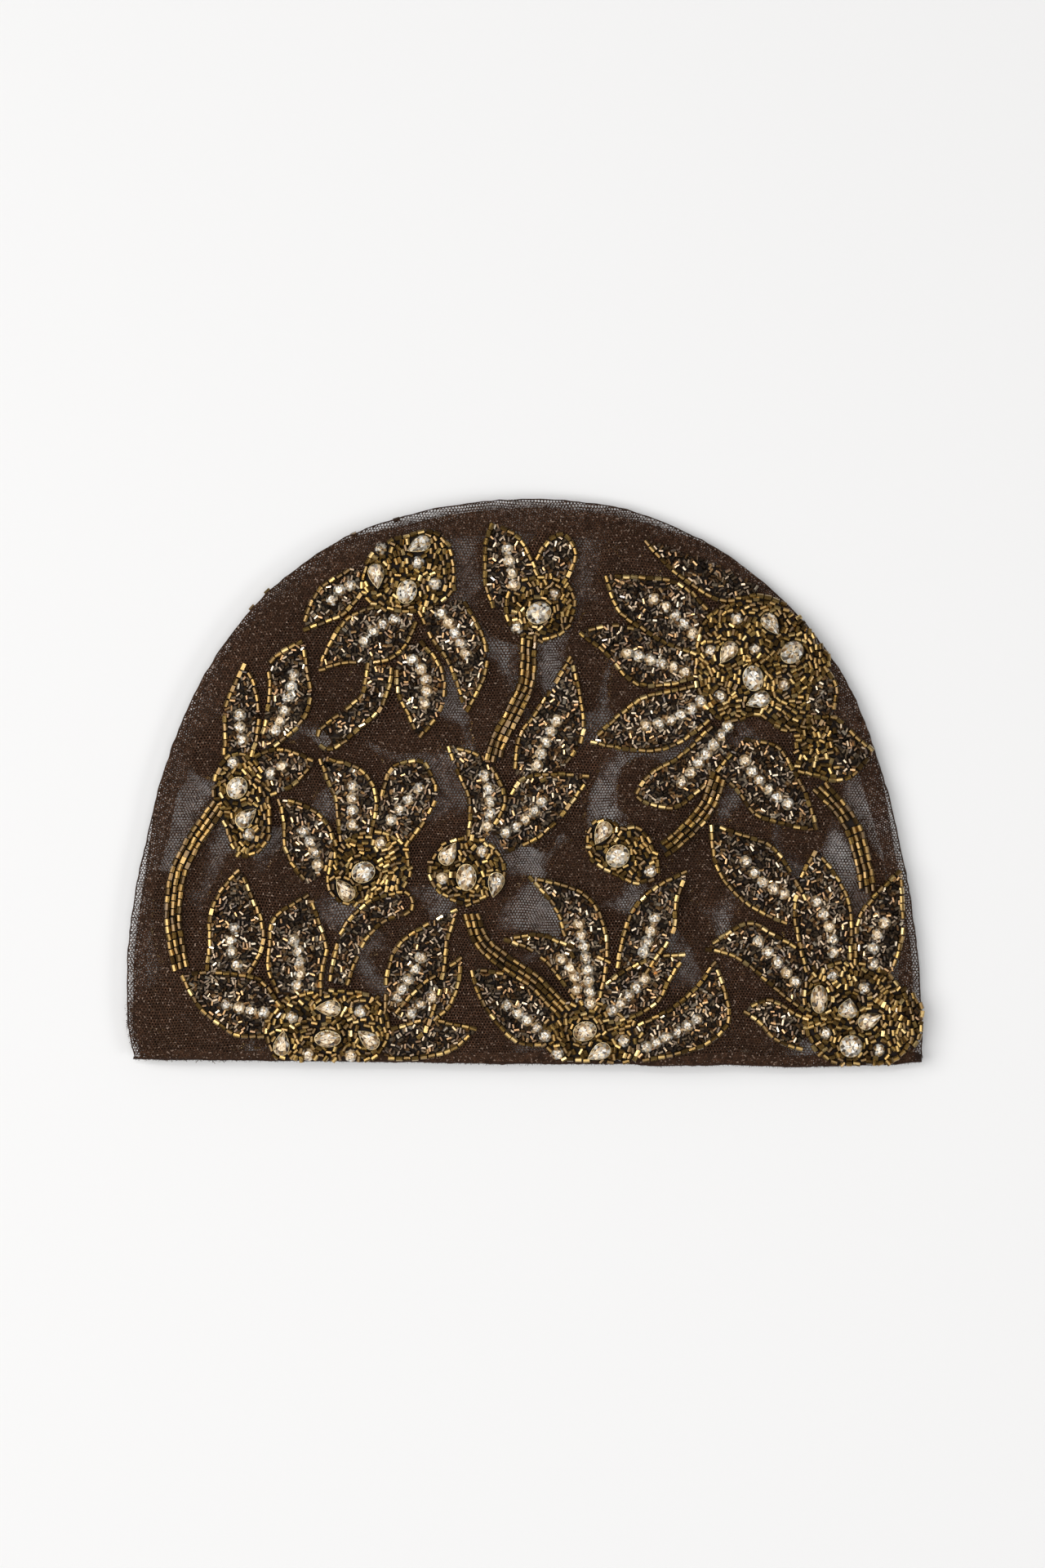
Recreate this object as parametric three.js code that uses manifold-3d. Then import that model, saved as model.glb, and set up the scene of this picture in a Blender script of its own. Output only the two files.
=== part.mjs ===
// A beaded skull cap of dark tulle, lying flat: two half-moon panels joined along
// their curved edge and open along the straight one, with bead leaves, flowers,
// stems and stones on both panels. Millimetres, +Z up; +Y runs from the open edge
// to the crown, and the origin is under the middle of the cap, at the floor.
import * as THREE from 'three';
import { mergeVertices } from 'three/addons/utils/BufferGeometryUtils.js';
import Module from 'manifold-3d';

const wasm = await Module();
wasm.setup();

// ---- driving dimensions -------------------------------------------------
const WALL = 1.0;            // tulle with its threads, as a wall
const GAP = 0.3;             // between pieces
const BEAD_LAYER = 1.6;      // bead work
const ROUND_TOP = 2.7;       // small stones' tops over the underside of the bead work
const ROUND_D = 4.1;         // small round stones
const STONE_H = 1.9;         // large stones over the bead work
const FLAT_Z = 3.0;          // underside of the back panel over the floor
const RIM_RISE = 1.5;        // how far the seam lifts off the floor
const PUFF = 7.2;            // how far the panels stand apart in the middle
const MOUTH_Y = -90.6;       // straight open edge
const ROOT = 3;              // how far a leaf runs on under the flower it grows from
const SHIFT_X = 0.5, SHIFT_Y = -0.3; // puts the origin under the middle of the whole cap

// How far the seam lies from the middle of the open edge, by angle from +X
const REACH_COLUMNS = ['angle', 'reach'];
const REACH = [
  [0, 128.2], [2, 128.8], [5, 129.2], [10, 129.9], [20, 133.8], [30, 140.1], [40, 149.7], [50, 161.8],
  [60, 171.2], [70, 178.5], [80, 182.8], [90, 183.2], [100, 182.5], [110, 180.6], [120, 174], [130, 164],
  [140, 152.9], [150, 143.2], [160, 137.2], [170, 132.5], [175, 130.8], [178, 129.2], [180, 127.6],
];
// The open edge sags a little: height over MOUTH_Y at x
const HEM_COLUMNS = ['x', 'rise'];
const HEM = [[-129, 0.8], [-42, 0.2], [-12, -0.5], [33, -0.5], [42, -1.3], [64, -0.8], [88, -1.6], [120, -0.8], [129, 0]];
// Soft folds in the front panel: where (angle, share of the reach), how wide, how high
const FOLD_COLUMNS = ['angle', 'spread', 'share', 'width', 'height'];
const FOLDS = [
  [170, 14, 0.86, 0.05, 0.7],
  [150, 14, 0.9, 0.05, 0.6],
  [38, 12, 0.93, 0.045, 0.5],
  [92, 16, 0.93, 0.04, 0.6],
  [118, 10, 0.88, 0.05, 0.5],
  [62, 9, 0.62, 0.08, -0.5],
  [128, 9, 0.6, 0.08, -0.5],
];

// Bead leaves: base and tip, then how far each side bulges from the base-tip line at 0, 1/4, 1/2 and 3/4 of it
// (l = left of base-to-tip, r = right), blunt = 1 for a round tip, and the row of small stones: count, start, middle, end.
const LEAF_COLUMNS = ['name', 'motif', 'baseX', 'baseY', 'tipX', 'tipY', 'l0', 'l1', 'l2', 'l3', 'r0', 'r1', 'r2', 'r3', 'blunt', 'stones', 'startX', 'startY', 'midX', 'midY', 'endX', 'endY', 'fill'];
const LEAVES = [
  ['TL_A', 'TL', -53.4, 66.3, -73.4, 50.1, 1.7, 3.2, 3.9, 1.9, -5.8, -6.6, -7, -4.6, 0, 3, -57.9, 65, -61.4, 63.4, -63.8, 60.2, 'mix'],
  ['TL_B', 'TL', -39, 56.7, -68.4, 37.2, 4.6, 9.6, 8.4, 2.8, -1.7, -7.1, -8.8, -5.7, 0, 4, -43.4, 53.8, -48.9, 51.1, -53.2, 46.8, 'mix'],
  ['TL_C', 'TL', -38.2, 45.5, -35.2, 15.1, 4, 8.8, 9.8, 7, -4, -5.2, -5.5, -2.8, 0, 5, -37.5, 40.6, -33.2, 34.2, -33.7, 26.3, 'mix'],
  ['TL_E', 'TL', -31, 57.5, -20, 23.6, 10.3, 12.1, 12.7, 8.8, -4.3, -3.3, -0.6, 0.1, 0, 5, -28.3, 55.9, -23.5, 49.5, -20.2, 42.5, 'mix'],
  ['LT_A', 'LT', -94.3, 9.5, -92.4, 39.4, 4.7, 4.9, 5.4, 3, -4.1, -5.6, -5.4, -3.8, 0, 3, -94, 22.6, -94, 18.6, -93.2, 14.6, 'mix'],
  ['LT_B', 'LT', -84.4, 12.1, -73.4, 46.9, 3.3, 3.8, 5.5, 7.5, -1, -6.8, -8.3, -4.3, 0, 6, -76.5, 35.8, -78.7, 26.3, -82.5, 17.5, 'mix'],
  ['LT_C', 'LT', -89.2, 3.3, -69.7, 7.6, 4.7, 6.5, 6, 3.7, -8.5, -7.6, -6.8, -4, 0, 2, -80.1, 5.7, -82, 4.7, -83.8, 3.6, 'mix'],
  ['ML_A', 'ML', -65.1, -27.6, -81.2, -4.7, 8.2, 8.7, 7.2, 2.9, -4.4, -7.1, -8, -5.7, 0, 4, -73.4, -15.4, -70, -20.5, -68.4, -26.3, 'mix'],
  ['ML_B', 'ML', -55.8, -18.6, -67.8, 8.7, 5.3, 3.2, 0.8, 0.6, -4.9, -10.4, -12.1, -9.4, 0, 4, -57.1, -0.7, -57.1, -6.6, -57.1, -13.2, 'mix'],
  ['ML_C', 'ML', -47, -16.4, -33.9, 7.3, 3.2, 6.9, 7.9, 3.6, -8.1, -9.5, -8.4, -3, 1, 4, -35.4, -1.5, -40.2, -6.5, -44.4, -11.6, 'mix'],
  ['BL_A', 'BL', -95.1, -61.3, -94, -27.6, 9.6, 9, 9.3, 6.5, -4.2, -8.2, -7.7, -4, 0, 4, -95.7, -47.2, -96.8, -53, -94.9, -58.8, 'mix'],
  ['BL_B', 'BL', -74.2, -69.8, -71.3, -35.9, 6.8, 10.9, 11.3, 10.4, -6.8, -6.2, -7, -3.9, 0, 5, -76.4, -50.9, -74.1, -58.1, -75.1, -65.8, 'mix'],
  ['BL_C', 'BL', -83, -75.4, -112.9, -62.1, 7.6, 10.6, 9.5, 6.6, -4.2, -8.7, -7.3, -4.3, 0, 4, -98.1, -71.9, -92.1, -73.5, -86.1, -74.4, 'mix'],
  ['BL_D', 'BL', -44.3, -74.6, -22.7, -40.7, 2.3, 8.1, 9.9, 6, -12.7, -10.5, -7.2, -2.4, 0, 5, -34.8, -56.5, -38.8, -63.6, -42.6, -69.4, 'mix'],
  ['BL_E', 'BL', -41.1, -76.5, -21.4, -56.2, 2.6, 3.1, 2.8, 1, -8.4, -8.2, -8.2, -5.2, 0, 3, -31, -69.3, -35, -71.7, -37.9, -74.6, 'mix'],
  ['BL_F', 'BL', -47, -84.8, -16.6, -80, 3.6, 4.9, 5.6, 3, -4.5, -5.8, -6.1, -4.5, 0, 0, 0, 0, 0, 0, 0, 0, 'mix'],
  ['CB_A', 'CB', -14.4, -17.2, -25.9, 12.7, 5.6, 1.4, -0.4, 0.3, -1.9, -10.5, -11.1, -9.4, 0, 5, -13.9, 2.8, -12.1, -5.5, -13.1, -13.5, 'mix'],
  ['CB_B', 'CB', -9.1, -18.6, 20.3, 2.5, 5.6, 8.8, 12.1, 7.4, -4, -6.1, -5.5, -3.1, 0, 5, 4.7, -5.5, -0.5, -11.4, -7.1, -15.6, 'mix'],
  ['CB_C', 'CB', -1.6, 2.8, 14.2, 41.8, 2.6, 5.6, 3.7, 1.5, -6.1, -11.9, -12.9, -7.3, 0, 5, 9.6, 20.8, 6, 13.9, 3.1, 6.2, 'mix'],
  ['TC_A', 'TC', -4.8, 58.9, -11.5, 85.3, 6.2, 7, 5.9, 4, -11.2, -10.4, -9.2, -7.1, 0, 4, -6.6, 76.9, -5.6, 71, -4.3, 65.1, 'mix'],
  ['TC_B', 'TC', 5.1, 63.7, 11.7, 81.3, 5.4, 5.4, 4.3, 2.3, -5.1, -6.2, -6.1, -3.2, 1, 0, 0, 0, 0, 0, 0, 0, 'mix'],
  ['TR_A', 'TR', 57.7, 45.5, 25.4, 68, 3.8, 6.4, 7.1, 6.6, -8, -11.1, -11.4, -6.3, 0, 5, 41.4, 60.5, 48.3, 55.2, 53.9, 49.5, 'mix'],
  ['TR_B', 'TR', 57.7, 38.8, 16.8, 49.5, 3.4, 9.2, 11, 4.4, -1.1, -3.4, -5.5, -5.2, 0, 6, 32.7, 42.8, 42, 40.1, 51.5, 36.8, 'mix'],
  ['TR_C', 'TR', 60.3, 29.5, 20.6, 14, 6, 9.7, 10.9, 7, -4, -5.4, -7, -4.2, 0, 6, 38.6, 19.3, 48.5, 21.8, 56.6, 27.2, 'mix'],
  ['TR_D', 'TR', 63.8, 14.8, 35.8, -3.6, 5.5, 9.6, 10, 4.9, -5.4, -3, -3.6, -1.7, 1, 7, 65.5, 18.9, 58.5, 10, 50.5, 0.6, 'mix'],
  ['TR_E', 'TR', 66.5, 9.5, 94.5, -15.1, 6.9, 11.9, 9.7, 5.9, -6.8, -7.3, -9.1, -5.4, 0, 6, 71.1, 7.7, 77.2, -0.2, 85, -6.4, 'mix'],
  ['TR_F', 'TR', 87.8, 11.3, 112.9, 10.8, 11.4, 10.8, 10.4, 5.2, -6.8, -8.1, -9.7, -7.6, 0, 0, 0, 0, 0, 0, 0, 0, 'silver'],
  ['TR_G', 'TR', 91.8, 17.5, 96.7, 38.8, 3.6, 4.7, 4.5, 2.6, -5.8, -6, -6.3, -5.4, 0, 0, 0, 0, 0, 0, 0, 0, 'silver'],
  ['TR_H', 'TR', 74.5, 62.1, 38.4, 79.7, 2, 6.8, 6.2, 3.9, -2.4, -2.9, -2.5, -1, 0, 0, 0, 0, 0, 0, 0, 0, 'dark'],
  ['BM_A', 'BM', 10.4, -80.5, -18.4, -60.5, 5.7, 10.4, 9.5, 6.3, -9.7, -8.5, -6.8, -4.6, 0, 5, -6.5, -72.2, -0, -77, 5.7, -82.1, 'mix'],
  ['BM_B', 'BM', 16.6, -70.6, -7.7, -50.6, 1, -1.4, -3.1, -2.8, -16.1, -14.1, -11.3, -8.3, 0, 4, 11.1, -57.1, 15, -61.3, 15.9, -66.8, 'mix'],
  ['BM_C', 'BM', 20.3, -74.6, 0.3, -30, -2.2, -2.5, -2.8, -3.8, -2.3, -11.4, -15.9, -13.8, 0, 8, 16.8, -45.7, 19.4, -58.4, 20.6, -71.3, 'mix'],
  ['BM_D', 'BM', 33.1, -61.3, 52.1, -28.4, 4.3, 7.5, 8.9, 6.1, -5, -5.4, -5.8, -1.6, 0, 4, 41.5, -43.7, 39.8, -49.4, 38, -54.8, 'mix'],
  ['BM_E', 'BM', 25.1, -75.4, 51.8, -55.4, 6.8, 7.9, 7.2, 4.7, -2.9, -6.1, -6.7, -2.9, 0, 5, 38.3, -63.5, 32.9, -68.9, 27.7, -73.7, 'mix'],
  ['BM_F', 'BM', 34.4, -86.1, 61.4, -57.5, 6.5, 2.5, -0.6, -1.4, -5.6, -12.5, -17, -15.3, 0, 6, 55.5, -76.8, 47.1, -81.6, 38.7, -85.6, 'mix'],
  ['RG_A', 'RG', 87.8, -41.3, 59.8, -13.2, 5.5, 9.1, 10, 7.6, -4.7, -7.4, -9.1, -5.1, 0, 5, 71.2, -25.2, 76.9, -31.8, 83.7, -35.7, 'mix'],
  ['RG_B', 'RG', 98.5, -59.9, 94, -21.5, 7.5, 8.6, 9, 6.3, -6.6, -8.5, -9, -6, 0, 5, 94.5, -38.3, 98.6, -46.5, 99.7, -54.9, 'mix'],
  ['RG_C', 'RG', 111.9, -63.9, 122, -28.2, 4.7, 7.5, 8.8, 5.4, -5, -6.4, -5.9, -3, 0, 4, 116.7, -45.3, 113.6, -51.3, 113.1, -58.8, 'mix'],
  ['RG_D', 'RG', 91.8, -68, 57.9, -53.8, 6, 3.4, 0.3, -1.7, -7.5, -11.6, -13, -12.9, 0, 5, 75.4, -51.2, 81.5, -58.2, 87.5, -64.6, 'mix'],
  ['RG_E', 'RG', 90.5, -80.5, 70.5, -74.1, 6, 6, 4.5, 1.4, -3.8, -4.5, -5.9, -5.3, 0, 0, 0, 0, 0, 0, 0, 0, 'mix'],
];

// Bead-filled flower centres: centre, then its reach at every 30 degrees from +X
const CENTRE_COLUMNS = ['motif', 'x', 'y', 'd0', 'd30', 'd60', 'd90', 'd120', 'd150', 'd180', 'd210', 'd240', 'd270', 'd300', 'd330'];
const CENTRES = [
  ['TL', -38.3, 69.1, 15.1, 15.5, 15.8, 12.9, 12.9, 13.9, 15.5, 17.4, 14.3, 13.4, 13.5, 15.2],
  ['TC', 4.1, 57.8, 11.9, 12.1, 11.4, 10.4, 11.2, 11.9, 11.8, 11.7, 11.8, 11.2, 11.3, 11.7],
  ['TR', 75.3, 40.3, 24, 20.8, 21, 21.9, 21.8, 21.9, 20.6, 22.6, 22.9, 18.1, 26.5, 20.2],
  ['LT', -92.6, -6.1, 8.6, 10.5, 12.8, 16.5, 15.4, 11.5, 9.9, 9.1, 11.1, 17.9, 15.4, 10.1],
  ['ML', -52.1, -27.2, 13.9, 14.3, 13.5, 12.2, 12, 13, 13.6, 14.8, 14.2, 10.9, 11.5, 13.9],
  ['CB', -19.8, -28.2, 13.1, 12.2, 11.3, 11.2, 11.3, 12.2, 13.1, 12.2, 11.3, 11.2, 11.3, 12.2],
  ['CR', 31, -21.9, 10.8, 10, 9.7, 8.2, 12.5, 13.4, 11.6, 9.6, 8.6, 9.2, 12.5, 13.5],
  ['BL', -65, -79.6, 20.2, 19.1, 14.3, 12.4, 13.7, 17.3, 20.6, 20, 13.4, 11.6, 13.1, 18.7],
  ['BM', 21, -81.8, 16.1, 12.6, 11, 10.9, 11.2, 13.8, 17.2, 13.9, 10.3, 8.9, 10.2, 16.4],
  ['RG', 107.8, -75.3, 18.1, 17.3, 17.1, 17.5, 19.1, 20, 17.7, 18.1, 18.1, 16.6, 18.8, 20.3],
  ['RG', 121.9, -76.4, 7.4, 8.6, 8.4, 10.7, 12, 7.9, 7.2, 7, 9.1, 11.7, 10.3, 8.2],
];

// Bands of bead rows: stems and the two bent tails. Five points of the middle line, half width at start, middle and end
const BAND_COLUMNS = ['name', 'motif', 'x1', 'y1', 'x2', 'y2', 'x3', 'y3', 'x4', 'y4', 'x5', 'y5', 'w1', 'w3', 'w5'];
const BANDS = [
  ['TL_D', 'TL', -48.1, 38.8, -49.1, 32.7, -51.5, 26.3, -57.7, 21, -64.6, 15.4, 4, 3.7, 4],
  ['ML_D', 'ML', -41.1, -38.8, -49.1, -41.5, -55.8, -47.9, -59.5, -56.5, -61.7, -65, 3.7, 4, 2.9],
  ['S1', 'LT', -102.5, -9.2, -109.5, -19.4, -114.5, -30.6, -115.6, -45.3, -113.2, -60.7, 2.7, 2.7, 2.7],
  ['S2', 'TC', 0.5, 46.9, -0.3, 33.5, -4.5, 23.6, -9.1, 14.8, -11.2, 8.1, 2.7, 2.7, 2.7],
  ['S3', 'TR', 62.5, 2.8, 59.3, -6, 54.2, -12.9, 48.6, -18.3, 44.3, -21.5, 2.7, 2.7, 2.7],
  ['S4', 'CB', -18.4, -42.1, -15, -51.1, -7.5, -57.8, 2.4, -64.5, 11.7, -74.1, 2.7, 2.7, 2.7],
  ['S5', 'TR', 95.3, -0.4, 102.5, -8.4, 106.8, -15.4, 109.7, -26, 111.1, -34.6, 2.7, 2.7, 2.7],
];

// Large stones: middle, length, width, and the way the long axis (or a pear's point) faces, degrees from +X
const STONE_COLUMNS = ['motif', 'cut', 'x', 'y', 'length', 'width', 'turn'];
const STONES = [
  ['TL', 'pear', -35.6, 78.1, 7.6, 5, -152],
  ['TL', 'pear', -49.3, 67.9, 7.6, 5, -83],
  ['TL', 'oval', -39.4, 62.9, 7.7, 6.1, 70],
  ['TC', 'oval', 3.7, 55.9, 8, 6.7, 28],
  ['TR', 'pear', 79.7, 52.2, 7.6, 5, -55],
  ['TR', 'pear', 65.3, 42.9, 7.6, 5, -124],
  ['TR', 'oval', 86.4, 43.1, 8, 6.4, 42],
  ['TR', 'oval', 73.7, 34.6, 8, 6.4, 100],
  ['TR', 'pear', 75.2, 27.4, 7.6, 5, -158],
  ['LT', 'oval', -94.8, -1.2, 7.2, 6.1, 55],
  ['LT', 'pear', -91.6, -10.7, 7.6, 5, 41],
  ['ML', 'oval', -53.5, -28.7, 7.5, 6.4, 25],
  ['ML', 'pear', -59.7, -34.3, 7.6, 5, 127],
  ['CB', 'pear', -25.6, -22.5, 7.6, 5, 58],
  ['CB', 'oval', -19.9, -30.3, 8.3, 6.1, 90],
  ['CB', 'pear', -10.4, -32.8, 7.6, 5, -102],
  ['CR', 'pear', 24.3, -16, 7.6, 5, -120],
  ['CR', 'oval', 29.4, -23.4, 7.7, 6.7, 38],
  ['BL', 'pear', -65, -73, 7.6, 5, 180],
  ['BL', 'pear', -80, -84.4, 7.6, 5, 82],
  ['BL', 'oval', -65.1, -83, 8.3, 5.1, 0],
  ['BL', 'pear', -52, -83, 7.6, 5, 141],
  ['BM', 'oval', 18.7, -80.5, 7.5, 5.9, 20],
  ['BM', 'pear', 23.2, -87.5, 7.6, 5, -150],
  ['RG', 'oval', 95.2, -70.1, 8.8, 5.3, 90],
  ['RG', 'pear', 104.7, -73, 6, 6, 80],
  ['RG', 'pear', 111.9, -77, 7.6, 5, 23],
  ['RG', 'oval', 105.6, -85.5, 7.2, 6.9, 0],
];

// Small round stones that stand alone in the flower centres
const ROUND_COLUMNS = ['motif', 'x', 'y'];
const ROUNDS = [
  ['TL', -47.8, 77], ['TL', -35.8, 72.5], ['TL', -30.2, 65.5], ['TC', 8.8, 62.1], ['TC', -3.5, 51.1],
  ['TR', 68.4, 54.1], ['TR', 59.8, 43.4], ['TR', 74.5, 44.2], ['TR', 83.8, 32.7], ['TR', 63, 28.7],
  ['LT', -96.1, 7.1], ['LT', -90.9, -16.4], ['ML', -47.8, -19.1], ['CB', -27.8, -30.6], ['CB', -14.8, -21.9],
  ['CR', 40.1, -28.3], ['BL', -76.9, -76.1], ['BL', -54.5, -74.1], ['BL', -71.6, -88.2], ['BL', -57.7, -88.5],
  ['BM', 31.6, -83.7], ['BM', 9.9, -87.8], ['RG', 99.6, -62.3], ['RG', 110.1, -66.6], ['RG', 97.2, -81.3],
  ['RG', 114.9, -86.9],
];

// ---- helpers ------------------------------------------------------------
const rowsOf = (columns, table) => table.map((row) => Object.fromEntries(columns.map((c, i) => [c, row[i]])));
const lerpTable = (rows, xKey, yKey, x) => {
  if (x <= rows[0][xKey]) return rows[0][yKey];
  for (let i = 1; i < rows.length; i++) {
    if (x <= rows[i][xKey]) {
      const a = rows[i - 1], b = rows[i], t = (x - a[xKey]) / (b[xKey] - a[xKey]);
      return a[yKey] + t * (b[yKey] - a[yKey]);
    }
  }
  return rows[rows.length - 1][yKey];
};
const reachRows = rowsOf(REACH_COLUMNS, REACH), hemRows = rowsOf(HEM_COLUMNS, HEM), foldRows = rowsOf(FOLD_COLUMNS, FOLDS);
// smooth curve through equally spaced values, s from 0 to 1
const smooth = (values, s) => {
  const n = values.length - 1, f = Math.min(Math.max(s, 0), 1) * n, i = Math.min(Math.floor(f), n - 1), t = f - i;
  const v = (k) => (k < 0 ? 2 * values[0] - values[1] : k > n ? 2 * values[n] - values[n - 1] : values[k]);
  const p0 = v(i - 1), p1 = v(i), p2 = v(i + 1), p3 = v(i + 2);
  return 0.5 * (2 * p1 + (p2 - p0) * t + (2 * p0 - 5 * p1 + 4 * p2 - p3) * t * t + (3 * p1 - p0 - 3 * p2 + p3) * t * t * t);
};
const reachAt = (deg) => {
  // a soft blend of straight pieces, so that no corner of the table shows
  let sum = 0;
  for (let k = -2; k <= 2; k++) sum += lerpTable(reachRows, 'angle', 'reach', Math.min(Math.max(deg + k * 0.9, 0), 180));
  return sum / 5;
};
const rimPoint = (deg, share) => {
  const r = reachAt(deg) * share, a = THREE.MathUtils.degToRad(deg);
  const x = r * Math.cos(a), y = r * Math.sin(a);
  return [x, MOUTH_Y + y + lerpTable(hemRows, 'x', 'rise', x) * Math.max(0, 1 - y / 25)];
};
const shareAt = (x, y) => {
  const dy = y - MOUTH_Y - lerpTable(hemRows, 'x', 'rise', x) * Math.max(0, 1 - (y - MOUTH_Y) / 25);
  return { deg: THREE.MathUtils.radToDeg(Math.atan2(Math.max(dy, 0), x)), share: Math.hypot(x, dy) / reachAt(THREE.MathUtils.radToDeg(Math.atan2(Math.max(dy, 0), x))) };
};
const step01 = (t) => { const c = Math.min(Math.max(t, 0), 1); return c * c * (3 - 2 * c); };

// ---- the two panels' surfaces -------------------------------------------
const backUnder = (share) => FLAT_Z + RIM_RISE * step01((share - 0.8) / 0.2);
const foldAt = (deg, share) => foldRows.reduce((sum, f) => sum + f.height * Math.exp(-(((deg - f.angle) / f.spread) ** 2) - ((share - f.share) / f.width) ** 2), 0);
const frontUnder = (deg, share) => {
  const s = Math.min(share, 1);
  const puff = PUFF * (1 - s ** 4) ** 0.75;
  const past = Math.max(share - 1, 0) * 18; // bead work that wraps round the seam turns down
  return backUnder(share) + WALL + GAP + puff + foldAt(deg, share) * Math.min(1, (1 - s) * 12) - past;
};

// A curved slab over the half-moon between two heights, on one shared grid.
// The spokes thin out towards the middle, where the cap is nearly flat.
const SPOKES = [0, 2, 5, 10, 15, 20, 25, 30, 35, 40, 45, 50, 55, 60, 65, 70, 75, 80, 90, 100, 105, 110, 115, 120, 125, 130, 135, 140, 145, 150, 155, 160, 165, 170, 175, 178, 180];
const RING_COLUMNS = ['share', 'stride'];
const RINGS = [[0.36, 6], [0.62, 3], [0.79, 3], [0.91, 3], [1, 1]];
const slab = (over, under, outer = 1) => {
  const rings = rowsOf(RING_COLUMNS, outer > 1 ? [...RINGS, [outer, 1]] : RINGS);
  const last = SPOKES.length - 1, pos = [], tri = [], start = [];
  for (const height of [over, under]) {
    const [x0, y0] = rimPoint(90, 0);
    pos.push(x0, y0, height(90, 0));
    for (const ring of rings) {
      if (height === over) start.push(pos.length / 3);
      for (let k = 0; k <= last; k += ring.stride) {
        const [x, y] = rimPoint(SPOKES[k], ring.share);
        pos.push(x, y, height(SPOKES[k], ring.share));
      }
    }
  }
  const under0 = pos.length / 6;
  const face = (a, b, c) => { tri.push(a, b, c, under0 + a, under0 + c, under0 + b); };
  const wall = (a, b) => { tri.push(b, a, under0 + a, b, under0 + a, under0 + b); };
  rings.forEach((ring, i) => {
    const outerAt = (k) => start[i] + k / ring.stride;
    if (i === 0) for (let k = 0; k < last; k += ring.stride) face(0, outerAt(k), outerAt(k + ring.stride));
    else {
      const inner = rings[i - 1], innerAt = (k) => start[i - 1] + k / inner.stride;
      for (let k = 0; k < last; k += inner.stride) {
        const half = k + Math.floor(inner.stride / ring.stride / 2 + 0.5) * ring.stride;
        for (let j = k; j < k + inner.stride; j += ring.stride) face(innerAt(j < half ? k : k + inner.stride), outerAt(j), outerAt(j + ring.stride));
        face(innerAt(k), outerAt(half), innerAt(k + inner.stride));
      }
    }
    const innerFirst = i ? start[i - 1] : 0, innerLast = i ? start[i - 1] + last / rings[i - 1].stride : 0;
    wall(innerFirst, start[i]);
    wall(start[i] + last / ring.stride, innerLast);
  });
  const rim = start[rings.length - 1];
  for (let k = 0; k < last; k++) wall(rim + k, rim + k + 1);
  return { pos, tri };
};
const geometryOf = ({ pos, tri }) => {
  const g = new THREE.BufferGeometry();
  g.setAttribute('position', new THREE.Float32BufferAttribute(pos, 3));
  g.setIndex(tri);
  return g;
};
const solidOf = (geometry) => {
  const g = geometry.clone();
  for (const name of Object.keys(g.attributes)) if (name !== 'position') g.deleteAttribute(name);
  const merged = mergeVertices(g, 1e-5);
  return new wasm.Manifold(new wasm.Mesh({
    numProp: 3,
    vertProperties: Float32Array.from(merged.attributes.position.array),
    triVerts: Uint32Array.from(merged.index.array),
  }));
};
const geometryFrom = (solid) => {
  const mesh = solid.getMesh();
  return geometryOf({ pos: Array.from(mesh.vertProperties), tri: Array.from(mesh.triVerts) });
};

// ---- outlines in plan ---------------------------------------------------
const leafRows = rowsOf(LEAF_COLUMNS, LEAVES), centreRows = rowsOf(CENTRE_COLUMNS, CENTRES), bandRows = rowsOf(BAND_COLUMNS, BANDS);
const stoneRows = rowsOf(STONE_COLUMNS, STONES), roundRows = rowsOf(ROUND_COLUMNS, ROUNDS);
const grown = (points, grow) => {
  if (!grow) return points;
  const n = points.length;
  return points.map((p, i) => {
    const a = points[(i + n - 1) % n], b = points[(i + 1) % n];
    const dx = b[0] - a[0], dy = b[1] - a[1], l = Math.hypot(dx, dy) || 1;
    return [p[0] + (dy / l) * grow, p[1] - (dx / l) * grow];
  });
};
const leafOutline = (l, steps) => {
  const dx = l.tipX - l.baseX, dy = l.tipY - l.baseY, length = Math.hypot(dx, dy), ux = dx / length, uy = dy / length;
  const along = (s, values) => {
    const u = (l.blunt ? 1 - (1 - s) ** 2 : s) * length, v = smooth(values, s);
    return [l.baseX + ux * u - uy * v, l.baseY + uy * u + ux * v];
  };
  const right = [], left = [];
  for (let i = 0; i <= steps; i++) {
    right.push(along(i / steps, [l.r0, l.r1, l.r2, l.r3, 0]));
    if (i < steps) left.unshift(along(i / steps, [l.l0, l.l1, l.l2, l.l3, 0]));
  }
  // the root runs on under what the leaf grows from
  const rootRight = [right[0][0] - ux * ROOT, right[0][1] - uy * ROOT], foot = along(0, [l.l0, l.l0, l.l0, l.l0, l.l0]);
  return [rootRight, ...right, ...left, [foot[0] - ux * ROOT, foot[1] - uy * ROOT]];
};
const centreOutline = (c, count) => {
  const reach = Array.from({ length: 12 }, (_, k) => c['d' + k * 30]), points = [];
  for (let k = 0; k < 24; k += 24 / count) {
    const i = Math.floor(k / 2), a = (k * Math.PI) / 12;
    const r = k % 2 ? (9 * (reach[i] + reach[(i + 1) % 12]) - reach[(i + 11) % 12] - reach[(i + 2) % 12]) / 16 : reach[i];
    points.push([c.x + r * Math.cos(a), c.y + r * Math.sin(a)]);
  }
  return points;
};
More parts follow.
